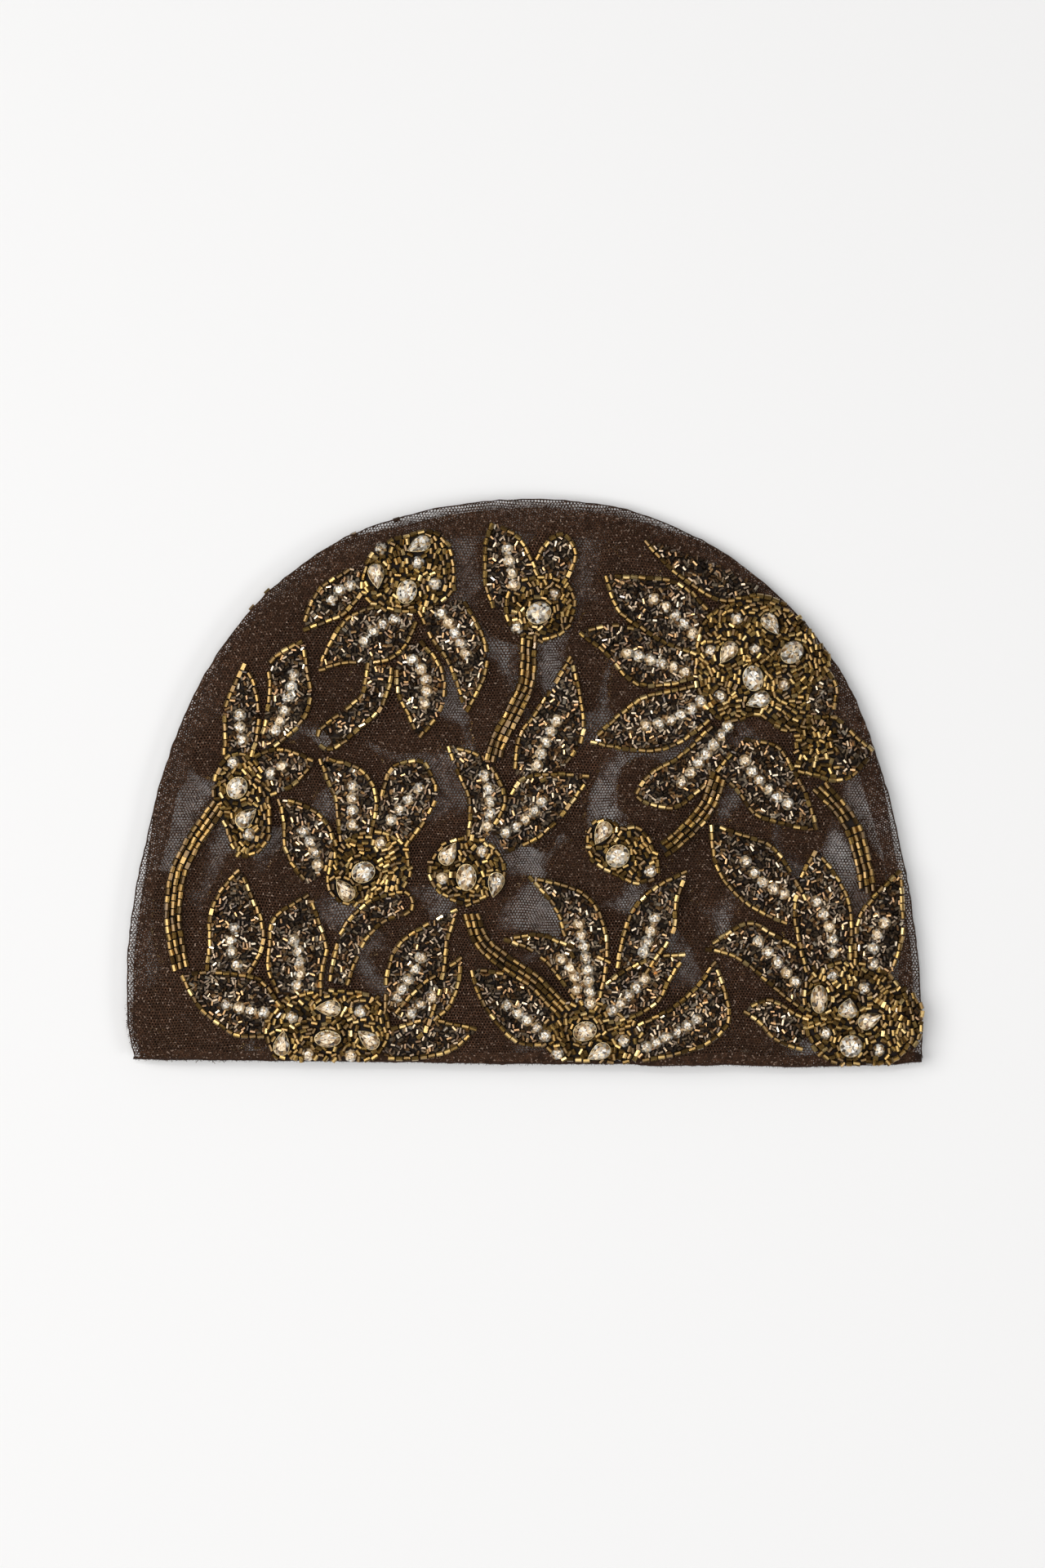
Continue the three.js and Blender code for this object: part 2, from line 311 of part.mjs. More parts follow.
const bandOutline = (b, steps) => {
  const xs = [b.x1, b.x2, b.x3, b.x4, b.x5], ys = [b.y1, b.y2, b.y3, b.y4, b.y5], right = [], left = [];
  for (let i = 0; i <= steps; i++) {
    const s = i / steps, e = 0.01;
    const dx = smooth(xs, s + e) - smooth(xs, s - e), dy = smooth(ys, s + e) - smooth(ys, s - e), l = Math.hypot(dx, dy);
    const w = smooth([b.w1, b.w3, b.w5], s);
    const x = smooth(xs, s), y = smooth(ys, s);
    if (i === 0) { const r = ROOT * 1.3; right.push([x + (dy / l) * w - (dx / l) * r, y - (dx / l) * w - (dy / l) * r]); left.push([x - (dy / l) * w - (dx / l) * r, y + (dx / l) * w - (dy / l) * r]); }
    right.push([x + (dy / l) * w, y - (dx / l) * w]);
    left.unshift([x - (dy / l) * w, y + (dx / l) * w]);
  }
  return [...right, ...left];
};
const disc = (x, y, r, sides = 6) => Array.from({ length: sides }, (_, k) => [x + r * Math.cos((k + 0.5) * 2 * Math.PI / sides), y + r * Math.sin((k + 0.5) * 2 * Math.PI / sides)]);
const rowOutline = (l) => {
  // the row of small stones as one bar with pointed ends, along its curve
  const cx = 2 * l.midX - 0.5 * (l.startX + l.endX), cy = 2 * l.midY - 0.5 * (l.startY + l.endY), r = ROUND_D / 2;
  const at = (k) => [(1 - k) ** 2 * l.startX + 2 * k * (1 - k) * cx + k * k * l.endX, (1 - k) ** 2 * l.startY + 2 * k * (1 - k) * cy + k * k * l.endY];
  const right = [], left = [];
  for (let i = 0; i <= 2; i++) {
    const k = i / 2, [x, y] = at(k), [xa, ya] = at(k - 0.02), [xb, yb] = at(k + 0.02), d = Math.hypot(xb - xa, yb - ya);
    const tx = (xb - xa) / d, ty = (yb - ya) / d;
    if (i === 0) right.push([x - tx * r, y - ty * r]);
    right.push([x + ty * r * 0.9, y - tx * r * 0.9]);
    left.unshift([x - ty * r * 0.9, y + tx * r * 0.9]);
    if (i === 2) left.unshift([x + tx * r, y + ty * r]);
  }
  return [...right, ...left];
};
const prism = (points, mirror = 1) => {
  const shape = new THREE.Shape(points.map(([x, y]) => new THREE.Vector2(x * mirror, y)));
  const g = new THREE.ExtrudeGeometry(shape, { depth: 60, bevelEnabled: false, steps: 1 });
  g.translate(0, 0, -20);
  return solidOf(g);
};

// ---- bead work, one solid for each motif --------------------------------
const MOTIFS = [
  ['TL', 'top_left_flower'], ['TC', 'top_middle_flower'], ['TR', 'top_right_flower'], ['LT', 'left_flower'], ['ML', 'middle_left_flower'],
  ['CB', 'middle_flower'], ['CR', 'right_bud'], ['BL', 'bottom_left_flower'], ['BM', 'bottom_middle_flower'], ['RG', 'bottom_right_flower'],
];
const plansOf = (motif, steps) => [
  ...centreRows.filter((c) => c.motif === motif).map((c) => centreOutline(c, steps > 4 ? 24 : 12)),
  ...leafRows.filter((l) => l.motif === motif).map((l) => leafOutline(l, steps)),
  ...bandRows.filter((b) => b.motif === motif).map((b) => bandOutline(b, steps)),
];
const barsOf = (motif) => [
  ...leafRows.filter((l) => l.motif === motif && l.stones > 1).map(rowOutline),
  ...roundRows.filter((r) => r.motif === motif).map((r) => disc(r.x, r.y, ROUND_D / 2)),
];
const union = (solids) => solids.reduce((a, b) => a.add(b));
const layer = (mirror, beadSlab, barSlab, steps) => {
  const taken = [];
  return MOTIFS.map(([motif, name]) => {
    const plans = plansOf(motif, steps);
    let body = union(plans.map((p) => prism(p, mirror)));
    for (const other of taken) body = body.subtract(other);
    taken.push(union(plans.map((p) => prism(grown(p, GAP + 0.05), mirror))));
    const bars = barsOf(motif);
    if (mirror < 0) bars.push(...stoneRows.filter((s) => s.motif === motif).map((s) => disc(s.x, s.y, s.width / 2)));
    let standing = union(bars.map((p) => prism(p, mirror))).intersect(body);
    return [name, body.intersect(beadSlab).add(standing.intersect(barSlab))];
  });
};
const frontOver = (deg, share) => frontUnder(deg, share) + WALL;
const REACH_PAST = 1.07;
const frontBeads = solidOf(geometryOf(slab((d, s) => frontOver(d, s) + GAP + BEAD_LAYER, (d, s) => frontOver(d, s) + GAP, REACH_PAST)));
const frontBars = solidOf(geometryOf(slab((d, s) => frontOver(d, s) + GAP + ROUND_TOP, (d, s) => frontOver(d, s) + GAP + 0.8, REACH_PAST)));
const backBeads = solidOf(geometryOf(slab((d, s) => backUnder(s) - GAP, (d, s) => backUnder(s) - GAP - BEAD_LAYER)));
const backBars = solidOf(geometryOf(slab((d, s) => backUnder(s) - GAP - 0.8, (d, s) => backUnder(s) - GAP - ROUND_TOP)));

// ---- large stones -------------------------------------------------------
// A faceted stone: flat base, girdle, crown and table, oval or pear in plan
const gem = (length, width, pear, sides = 8) => {
  const ring = (scale, z) => Array.from({ length: sides }, (_, k) => {
    const a = ((k + 0.5) * 2 * Math.PI) / sides, c = Math.cos(a), s = Math.sin(a);
    const taper = pear ? 1 - 0.42 * (0.5 + 0.5 * c) ** 1.5 : 1;
    return [(length / 2) * c * scale, (width / 2) * s * taper * scale, z];
  });
  const rings = [ring(0.85, 0), ring(1, 0.7), ring(0.6, STONE_H)], pos = rings.flat(2), tri = [];
  for (let i = 0; i < 2; i++) for (let k = 0; k < sides; k++) {
    const a = i * sides + k, b = i * sides + ((k + 1) % sides);
    tri.push(a, b, b + sides, a, b + sides, a + sides);
  }
  for (let k = 1; k < sides - 1; k++) tri.push(0, k + 1, k, 2 * sides, 2 * sides + k, 2 * sides + k + 1);
  return geometryOf({ pos, tri });
};

// ---- the cap ------------------------------------------------------------
const cloth = new THREE.Color(0x3a2a24), beads = new THREE.Color(0x7d6230), crystal = new THREE.Color(0xdcc8ae);
const material = (color, roughness, metalness) => new THREE.MeshStandardMaterial({ color, roughness, metalness });
const cap = new THREE.Group();
cap.position.set(SHIFT_X, SHIFT_Y, 0);
const put = (name, geometry, mat) => {
  const mesh = new THREE.Mesh(geometry, mat);
  mesh.name = name;
  cap.add(mesh);
  return mesh;
};
put('front_panel', geometryOf(slab(frontOver, frontUnder)), material(cloth, 0.9, 0));
put('back_panel', geometryOf(slab((d, s) => backUnder(s) + WALL, (d, s) => backUnder(s))), material(cloth, 0.9, 0));
for (const [name, solid] of layer(1, frontBeads, frontBars, 5)) put('front_' + name, geometryFrom(solid), material(beads, 0.35, 0.8));
for (const [name, solid] of layer(-1, backBeads, backBars, 4)) put('back_' + name, geometryFrom(solid), material(beads, 0.35, 0.8));

const beadTop = (x, y) => { const { deg, share } = shareAt(x, y); return frontOver(deg, share) + GAP + BEAD_LAYER; };
stoneRows.forEach((s, i) => {
  const e = 3, gx = (beadTop(s.x + e, s.y) - beadTop(s.x - e, s.y)) / (2 * e), gy = (beadTop(s.x, s.y + e) - beadTop(s.x, s.y - e)) / (2 * e);
  const up = new THREE.Vector3(-gx, -gy, 1).normalize();
  const lift = Math.max(beadTop(s.x, s.y), ...[0, 60, 120, 180, 240, 300].map((a) => {
    const dx = (s.length / 2) * Math.cos((a * Math.PI) / 180), dy = (s.length / 2) * Math.sin((a * Math.PI) / 180);
    return beadTop(s.x + dx, s.y + dy) - gx * dx - gy * dy;
  }));
  const mesh = put(`stone_${String(i + 1).padStart(2, '0')}_${s.cut}`, gem(s.length, s.width, s.cut === 'pear'), material(crystal, 0.08, 0.1));
  mesh.position.set(s.x, s.y, lift + GAP);
  const turn = new THREE.Quaternion().setFromAxisAngle(new THREE.Vector3(0, 0, 1), THREE.MathUtils.degToRad(s.turn));
  mesh.quaternion.setFromUnitVectors(new THREE.Vector3(0, 0, 1), up).multiply(turn);
});

export default cap;
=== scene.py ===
# A beaded skull cap of dark tulle, lying flat on a pale floor. Everything is in metres in the
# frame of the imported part; the plan tables below are in millimetres, in the part's plan axes.
import bpy
import math
import numpy as np
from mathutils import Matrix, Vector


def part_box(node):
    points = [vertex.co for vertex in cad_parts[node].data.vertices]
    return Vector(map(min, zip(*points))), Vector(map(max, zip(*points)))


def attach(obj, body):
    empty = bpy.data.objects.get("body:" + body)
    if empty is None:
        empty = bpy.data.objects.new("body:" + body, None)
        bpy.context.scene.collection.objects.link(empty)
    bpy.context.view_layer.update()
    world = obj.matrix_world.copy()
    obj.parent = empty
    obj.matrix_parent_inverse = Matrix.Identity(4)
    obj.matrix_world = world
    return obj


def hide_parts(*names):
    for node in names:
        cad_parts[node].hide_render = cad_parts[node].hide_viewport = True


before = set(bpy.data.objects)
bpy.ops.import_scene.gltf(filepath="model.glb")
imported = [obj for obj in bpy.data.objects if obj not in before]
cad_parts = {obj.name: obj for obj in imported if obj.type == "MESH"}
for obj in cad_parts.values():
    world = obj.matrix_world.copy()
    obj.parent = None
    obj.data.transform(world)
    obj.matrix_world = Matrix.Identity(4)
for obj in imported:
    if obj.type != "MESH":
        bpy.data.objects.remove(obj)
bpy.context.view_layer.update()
rng = np.random.default_rng(20)

# ---- sizes, mm, as in the CAD part --------------------------------------
WALL, GAP, BEAD_LAYER, ROUND_TOP, ROUND_D, STONE_H = 1.0, 0.3, 1.6, 2.7, 4.1, 1.9
FLAT_Z, RIM_RISE, PUFF, MOUTH_Y = 3.0, 1.5, 7.2, -90.6
SHIFT_X, SHIFT_Y = 0.5, -0.3
REACH = np.array([
    [0, 128.2], [2, 128.8], [5, 129.2], [10, 129.9], [20, 133.8], [30, 140.1], [40, 149.7], [50, 161.8],
    [60, 171.2], [70, 178.5], [80, 182.8], [90, 183.2], [100, 182.5], [110, 180.6], [120, 174], [130, 164],
    [140, 152.9], [150, 143.2], [160, 137.2], [170, 132.5], [175, 130.8], [178, 129.2], [180, 127.6]])
HEM = np.array([[-129, 0.8], [-42, 0.2], [-12, -0.5], [33, -0.5], [42, -1.3], [64, -0.8], [88, -1.6], [120, -0.8], [129, 0]])
FOLD_COLUMNS = ['angle', 'spread', 'share', 'width', 'height']
FOLDS = [
    [170, 14, 0.86, 0.05, 0.7],
    [150, 14, 0.9, 0.05, 0.6],
    [38, 12, 0.93, 0.045, 0.5],
    [92, 16, 0.93, 0.04, 0.6],
    [118, 10, 0.88, 0.05, 0.5],
    [62, 9, 0.62, 0.08, -0.5],
    [128, 9, 0.6, 0.08, -0.5],
]

# Bead leaves: base and tip, then how far each side bulges from the base-tip line at 0, 1/4, 1/2 and 3/4 of it
# (l = left of base-to-tip, r = right), blunt = 1 for a round tip, and the row of small stones: count, start, middle, end.
LEAF_COLUMNS = ['name', 'motif', 'baseX', 'baseY', 'tipX', 'tipY', 'l0', 'l1', 'l2', 'l3', 'r0', 'r1', 'r2', 'r3', 'blunt', 'stones', 'startX', 'startY', 'midX', 'midY', 'endX', 'endY', 'fill']
LEAVES = [
  ['TL_A', 'TL', -53.4, 66.3, -73.4, 50.1, 1.7, 3.2, 3.9, 1.9, -5.8, -6.6, -7, -4.6, 0, 3, -57.9, 65, -61.4, 63.4, -63.8, 60.2, 'mix'],
  ['TL_B', 'TL', -39, 56.7, -68.4, 37.2, 4.6, 9.6, 8.4, 2.8, -1.7, -7.1, -8.8, -5.7, 0, 4, -43.4, 53.8, -48.9, 51.1, -53.2, 46.8, 'mix'],
  ['TL_C', 'TL', -38.2, 45.5, -35.2, 15.1, 4, 8.8, 9.8, 7, -4, -5.2, -5.5, -2.8, 0, 5, -37.5, 40.6, -33.2, 34.2, -33.7, 26.3, 'mix'],
  ['TL_E', 'TL', -31, 57.5, -20, 23.6, 10.3, 12.1, 12.7, 8.8, -4.3, -3.3, -0.6, 0.1, 0, 5, -28.3, 55.9, -23.5, 49.5, -20.2, 42.5, 'mix'],
  ['LT_A', 'LT', -94.3, 9.5, -92.4, 39.4, 4.7, 4.9, 5.4, 3, -4.1, -5.6, -5.4, -3.8, 0, 3, -94, 22.6, -94, 18.6, -93.2, 14.6, 'mix'],
  ['LT_B', 'LT', -84.4, 12.1, -73.4, 46.9, 3.3, 3.8, 5.5, 7.5, -1, -6.8, -8.3, -4.3, 0, 6, -76.5, 35.8, -78.7, 26.3, -82.5, 17.5, 'mix'],
  ['LT_C', 'LT', -89.2, 3.3, -69.7, 7.6, 4.7, 6.5, 6, 3.7, -8.5, -7.6, -6.8, -4, 0, 2, -80.1, 5.7, -82, 4.7, -83.8, 3.6, 'mix'],
  ['ML_A', 'ML', -65.1, -27.6, -81.2, -4.7, 8.2, 8.7, 7.2, 2.9, -4.4, -7.1, -8, -5.7, 0, 4, -73.4, -15.4, -70, -20.5, -68.4, -26.3, 'mix'],
  ['ML_B', 'ML', -55.8, -18.6, -67.8, 8.7, 5.3, 3.2, 0.8, 0.6, -4.9, -10.4, -12.1, -9.4, 0, 4, -57.1, -0.7, -57.1, -6.6, -57.1, -13.2, 'mix'],
  ['ML_C', 'ML', -47, -16.4, -33.9, 7.3, 3.2, 6.9, 7.9, 3.6, -8.1, -9.5, -8.4, -3, 1, 4, -35.4, -1.5, -40.2, -6.5, -44.4, -11.6, 'mix'],
  ['BL_A', 'BL', -95.1, -61.3, -94, -27.6, 9.6, 9, 9.3, 6.5, -4.2, -8.2, -7.7, -4, 0, 4, -95.7, -47.2, -96.8, -53, -94.9, -58.8, 'mix'],
  ['BL_B', 'BL', -74.2, -69.8, -71.3, -35.9, 6.8, 10.9, 11.3, 10.4, -6.8, -6.2, -7, -3.9, 0, 5, -76.4, -50.9, -74.1, -58.1, -75.1, -65.8, 'mix'],
  ['BL_C', 'BL', -83, -75.4, -112.9, -62.1, 7.6, 10.6, 9.5, 6.6, -4.2, -8.7, -7.3, -4.3, 0, 4, -98.1, -71.9, -92.1, -73.5, -86.1, -74.4, 'mix'],
  ['BL_D', 'BL', -44.3, -74.6, -22.7, -40.7, 2.3, 8.1, 9.9, 6, -12.7, -10.5, -7.2, -2.4, 0, 5, -34.8, -56.5, -38.8, -63.6, -42.6, -69.4, 'mix'],
  ['BL_E', 'BL', -41.1, -76.5, -21.4, -56.2, 2.6, 3.1, 2.8, 1, -8.4, -8.2, -8.2, -5.2, 0, 3, -31, -69.3, -35, -71.7, -37.9, -74.6, 'mix'],
  ['BL_F', 'BL', -47, -84.8, -16.6, -80, 3.6, 4.9, 5.6, 3, -4.5, -5.8, -6.1, -4.5, 0, 0, 0, 0, 0, 0, 0, 0, 'mix'],
  ['CB_A', 'CB', -14.4, -17.2, -25.9, 12.7, 5.6, 1.4, -0.4, 0.3, -1.9, -10.5, -11.1, -9.4, 0, 5, -13.9, 2.8, -12.1, -5.5, -13.1, -13.5, 'mix'],
  ['CB_B', 'CB', -9.1, -18.6, 20.3, 2.5, 5.6, 8.8, 12.1, 7.4, -4, -6.1, -5.5, -3.1, 0, 5, 4.7, -5.5, -0.5, -11.4, -7.1, -15.6, 'mix'],
  ['CB_C', 'CB', -1.6, 2.8, 14.2, 41.8, 2.6, 5.6, 3.7, 1.5, -6.1, -11.9, -12.9, -7.3, 0, 5, 9.6, 20.8, 6, 13.9, 3.1, 6.2, 'mix'],
  ['TC_A', 'TC', -4.8, 58.9, -11.5, 85.3, 6.2, 7, 5.9, 4, -11.2, -10.4, -9.2, -7.1, 0, 4, -6.6, 76.9, -5.6, 71, -4.3, 65.1, 'mix'],
  ['TC_B', 'TC', 5.1, 63.7, 11.7, 81.3, 5.4, 5.4, 4.3, 2.3, -5.1, -6.2, -6.1, -3.2, 1, 0, 0, 0, 0, 0, 0, 0, 'mix'],
  ['TR_A', 'TR', 57.7, 45.5, 25.4, 68, 3.8, 6.4, 7.1, 6.6, -8, -11.1, -11.4, -6.3, 0, 5, 41.4, 60.5, 48.3, 55.2, 53.9, 49.5, 'mix'],
  ['TR_B', 'TR', 57.7, 38.8, 16.8, 49.5, 3.4, 9.2, 11, 4.4, -1.1, -3.4, -5.5, -5.2, 0, 6, 32.7, 42.8, 42, 40.1, 51.5, 36.8, 'mix'],
  ['TR_C', 'TR', 60.3, 29.5, 20.6, 14, 6, 9.7, 10.9, 7, -4, -5.4, -7, -4.2, 0, 6, 38.6, 19.3, 48.5, 21.8, 56.6, 27.2, 'mix'],
  ['TR_D', 'TR', 63.8, 14.8, 35.8, -3.6, 5.5, 9.6, 10, 4.9, -5.4, -3, -3.6, -1.7, 1, 7, 65.5, 18.9, 58.5, 10, 50.5, 0.6, 'mix'],
  ['TR_E', 'TR', 66.5, 9.5, 94.5, -15.1, 6.9, 11.9, 9.7, 5.9, -6.8, -7.3, -9.1, -5.4, 0, 6, 71.1, 7.7, 77.2, -0.2, 85, -6.4, 'mix'],
  ['TR_F', 'TR', 87.8, 11.3, 112.9, 10.8, 11.4, 10.8, 10.4, 5.2, -6.8, -8.1, -9.7, -7.6, 0, 0, 0, 0, 0, 0, 0, 0, 'silver'],
  ['TR_G', 'TR', 91.8, 17.5, 96.7, 38.8, 3.6, 4.7, 4.5, 2.6, -5.8, -6, -6.3, -5.4, 0, 0, 0, 0, 0, 0, 0, 0, 'silver'],
  ['TR_H', 'TR', 74.5, 62.1, 38.4, 79.7, 2, 6.8, 6.2, 3.9, -2.4, -2.9, -2.5, -1, 0, 0, 0, 0, 0, 0, 0, 0, 'dark'],
  ['BM_A', 'BM', 10.4, -80.5, -18.4, -60.5, 5.7, 10.4, 9.5, 6.3, -9.7, -8.5, -6.8, -4.6, 0, 5, -6.5, -72.2, -0, -77, 5.7, -82.1, 'mix'],
  ['BM_B', 'BM', 16.6, -70.6, -7.7, -50.6, 1, -1.4, -3.1, -2.8, -16.1, -14.1, -11.3, -8.3, 0, 4, 11.1, -57.1, 15, -61.3, 15.9, -66.8, 'mix'],
  ['BM_C', 'BM', 20.3, -74.6, 0.3, -30, -2.2, -2.5, -2.8, -3.8, -2.3, -11.4, -15.9, -13.8, 0, 8, 16.8, -45.7, 19.4, -58.4, 20.6, -71.3, 'mix'],
  ['BM_D', 'BM', 33.1, -61.3, 52.1, -28.4, 4.3, 7.5, 8.9, 6.1, -5, -5.4, -5.8, -1.6, 0, 4, 41.5, -43.7, 39.8, -49.4, 38, -54.8, 'mix'],
  ['BM_E', 'BM', 25.1, -75.4, 51.8, -55.4, 6.8, 7.9, 7.2, 4.7, -2.9, -6.1, -6.7, -2.9, 0, 5, 38.3, -63.5, 32.9, -68.9, 27.7, -73.7, 'mix'],
  ['BM_F', 'BM', 34.4, -86.1, 61.4, -57.5, 6.5, 2.5, -0.6, -1.4, -5.6, -12.5, -17, -15.3, 0, 6, 55.5, -76.8, 47.1, -81.6, 38.7, -85.6, 'mix'],
  ['RG_A', 'RG', 87.8, -41.3, 59.8, -13.2, 5.5, 9.1, 10, 7.6, -4.7, -7.4, -9.1, -5.1, 0, 5, 71.2, -25.2, 76.9, -31.8, 83.7, -35.7, 'mix'],
  ['RG_B', 'RG', 98.5, -59.9, 94, -21.5, 7.5, 8.6, 9, 6.3, -6.6, -8.5, -9, -6, 0, 5, 94.5, -38.3, 98.6, -46.5, 99.7, -54.9, 'mix'],
  ['RG_C', 'RG', 111.9, -63.9, 122, -28.2, 4.7, 7.5, 8.8, 5.4, -5, -6.4, -5.9, -3, 0, 4, 116.7, -45.3, 113.6, -51.3, 113.1, -58.8, 'mix'],
  ['RG_D', 'RG', 91.8, -68, 57.9, -53.8, 6, 3.4, 0.3, -1.7, -7.5, -11.6, -13, -12.9, 0, 5, 75.4, -51.2, 81.5, -58.2, 87.5, -64.6, 'mix'],
  ['RG_E', 'RG', 90.5, -80.5, 70.5, -74.1, 6, 6, 4.5, 1.4, -3.8, -4.5, -5.9, -5.3, 0, 0, 0, 0, 0, 0, 0, 0, 'mix'],
]

# Bead-filled flower centres: centre, then its reach at every 30 degrees from +X
CENTRE_COLUMNS = ['motif', 'x', 'y', 'd0', 'd30', 'd60', 'd90', 'd120', 'd150', 'd180', 'd210', 'd240', 'd270', 'd300', 'd330']
CENTRES = [
  ['TL', -38.3, 69.1, 15.1, 15.5, 15.8, 12.9, 12.9, 13.9, 15.5, 17.4, 14.3, 13.4, 13.5, 15.2],
  ['TC', 4.1, 57.8, 11.9, 12.1, 11.4, 10.4, 11.2, 11.9, 11.8, 11.7, 11.8, 11.2, 11.3, 11.7],
  ['TR', 75.3, 40.3, 24, 20.8, 21, 21.9, 21.8, 21.9, 20.6, 22.6, 22.9, 18.1, 26.5, 20.2],
  ['LT', -92.6, -6.1, 8.6, 10.5, 12.8, 16.5, 15.4, 11.5, 9.9, 9.1, 11.1, 17.9, 15.4, 10.1],
  ['ML', -52.1, -27.2, 13.9, 14.3, 13.5, 12.2, 12, 13, 13.6, 14.8, 14.2, 10.9, 11.5, 13.9],
  ['CB', -19.8, -28.2, 13.1, 12.2, 11.3, 11.2, 11.3, 12.2, 13.1, 12.2, 11.3, 11.2, 11.3, 12.2],
  ['CR', 31, -21.9, 10.8, 10, 9.7, 8.2, 12.5, 13.4, 11.6, 9.6, 8.6, 9.2, 12.5, 13.5],
  ['BL', -65, -79.6, 20.2, 19.1, 14.3, 12.4, 13.7, 17.3, 20.6, 20, 13.4, 11.6, 13.1, 18.7],
  ['BM', 21, -81.8, 16.1, 12.6, 11, 10.9, 11.2, 13.8, 17.2, 13.9, 10.3, 8.9, 10.2, 16.4],
  ['RG', 107.8, -75.3, 18.1, 17.3, 17.1, 17.5, 19.1, 20, 17.7, 18.1, 18.1, 16.6, 18.8, 20.3],
  ['RG', 121.9, -76.4, 7.4, 8.6, 8.4, 10.7, 12, 7.9, 7.2, 7, 9.1, 11.7, 10.3, 8.2],
]

# Bands of bead rows: stems and the two bent tails. Five points of the middle line, half width at start, middle and end
BAND_COLUMNS = ['name', 'motif', 'x1', 'y1', 'x2', 'y2', 'x3', 'y3', 'x4', 'y4', 'x5', 'y5', 'w1', 'w3', 'w5']
BANDS = [
  ['TL_D', 'TL', -48.1, 38.8, -49.1, 32.7, -51.5, 26.3, -57.7, 21, -64.6, 15.4, 4, 3.7, 4],
  ['ML_D', 'ML', -41.1, -38.8, -49.1, -41.5, -55.8, -47.9, -59.5, -56.5, -61.7, -65, 3.7, 4, 2.9],
  ['S1', 'LT', -102.5, -9.2, -109.5, -19.4, -114.5, -30.6, -115.6, -45.3, -113.2, -60.7, 2.7, 2.7, 2.7],
  ['S2', 'TC', 0.5, 46.9, -0.3, 33.5, -4.5, 23.6, -9.1, 14.8, -11.2, 8.1, 2.7, 2.7, 2.7],
  ['S3', 'TR', 62.5, 2.8, 59.3, -6, 54.2, -12.9, 48.6, -18.3, 44.3, -21.5, 2.7, 2.7, 2.7],
  ['S4', 'CB', -18.4, -42.1, -15, -51.1, -7.5, -57.8, 2.4, -64.5, 11.7, -74.1, 2.7, 2.7, 2.7],
  ['S5', 'TR', 95.3, -0.4, 102.5, -8.4, 106.8, -15.4, 109.7, -26, 111.1, -34.6, 2.7, 2.7, 2.7],
]

# Large stones: middle, length, width, and the way the long axis (or a pear's point) faces, degrees from +X
STONE_COLUMNS = ['motif', 'cut', 'x', 'y', 'length', 'width', 'turn']
STONES = [
  ['TL', 'pear', -35.6, 78.1, 7.6, 5, -152],
  ['TL', 'pear', -49.3, 67.9, 7.6, 5, -83],
  ['TL', 'oval', -39.4, 62.9, 7.7, 6.1, 70],
  ['TC', 'oval', 3.7, 55.9, 8, 6.7, 28],
  ['TR', 'pear', 79.7, 52.2, 7.6, 5, -55],
  ['TR', 'pear', 65.3, 42.9, 7.6, 5, -124],
  ['TR', 'oval', 86.4, 43.1, 8, 6.4, 42],
  ['TR', 'oval', 73.7, 34.6, 8, 6.4, 100],
  ['TR', 'pear', 75.2, 27.4, 7.6, 5, -158],
  ['LT', 'oval', -94.8, -1.2, 7.2, 6.1, 55],
  ['LT', 'pear', -91.6, -10.7, 7.6, 5, 41],
  ['ML', 'oval', -53.5, -28.7, 7.5, 6.4, 25],
  ['ML', 'pear', -59.7, -34.3, 7.6, 5, 127],
  ['CB', 'pear', -25.6, -22.5, 7.6, 5, 58],
  ['CB', 'oval', -19.9, -30.3, 8.3, 6.1, 90],
  ['CB', 'pear', -10.4, -32.8, 7.6, 5, -102],
  ['CR', 'pear', 24.3, -16, 7.6, 5, -120],
  ['CR', 'oval', 29.4, -23.4, 7.7, 6.7, 38],
  ['BL', 'pear', -65, -73, 7.6, 5, 180],
  ['BL', 'pear', -80, -84.4, 7.6, 5, 82],
  ['BL', 'oval', -65.1, -83, 8.3, 5.1, 0],
  ['BL', 'pear', -52, -83, 7.6, 5, 141],
  ['BM', 'oval', 18.7, -80.5, 7.5, 5.9, 20],
  ['BM', 'pear', 23.2, -87.5, 7.6, 5, -150],
  ['RG', 'oval', 95.2, -70.1, 8.8, 5.3, 90],
  ['RG', 'pear', 104.7, -73, 6, 6, 80],
  ['RG', 'pear', 111.9, -77, 7.6, 5, 23],
  ['RG', 'oval', 105.6, -85.5, 7.2, 6.9, 0],
]

# Small round stones that stand alone in the flower centres
ROUND_COLUMNS = ['motif', 'x', 'y']
ROUNDS = [
  ['TL', -47.8, 77], ['TL', -35.8, 72.5], ['TL', -30.2, 65.5], ['TC', 8.8, 62.1], ['TC', -3.5, 51.1],
  ['TR', 68.4, 54.1], ['TR', 59.8, 43.4], ['TR', 74.5, 44.2], ['TR', 83.8, 32.7], ['TR', 63, 28.7],
  ['LT', -96.1, 7.1], ['LT', -90.9, -16.4], ['ML', -47.8, -19.1], ['CB', -27.8, -30.6], ['CB', -14.8, -21.9],
  ['CR', 40.1, -28.3], ['BL', -76.9, -76.1], ['BL', -54.5, -74.1], ['BL', -71.6, -88.2], ['BL', -57.7, -88.5],
  ['BM', 31.6, -83.7], ['BM', 9.9, -87.8], ['RG', 99.6, -62.3], ['RG', 110.1, -66.6], ['RG', 97.2, -81.3],
  ['RG', 114.9, -86.9],
]


def rows_of(columns, table):
    return [dict(zip(columns, row)) for row in table]


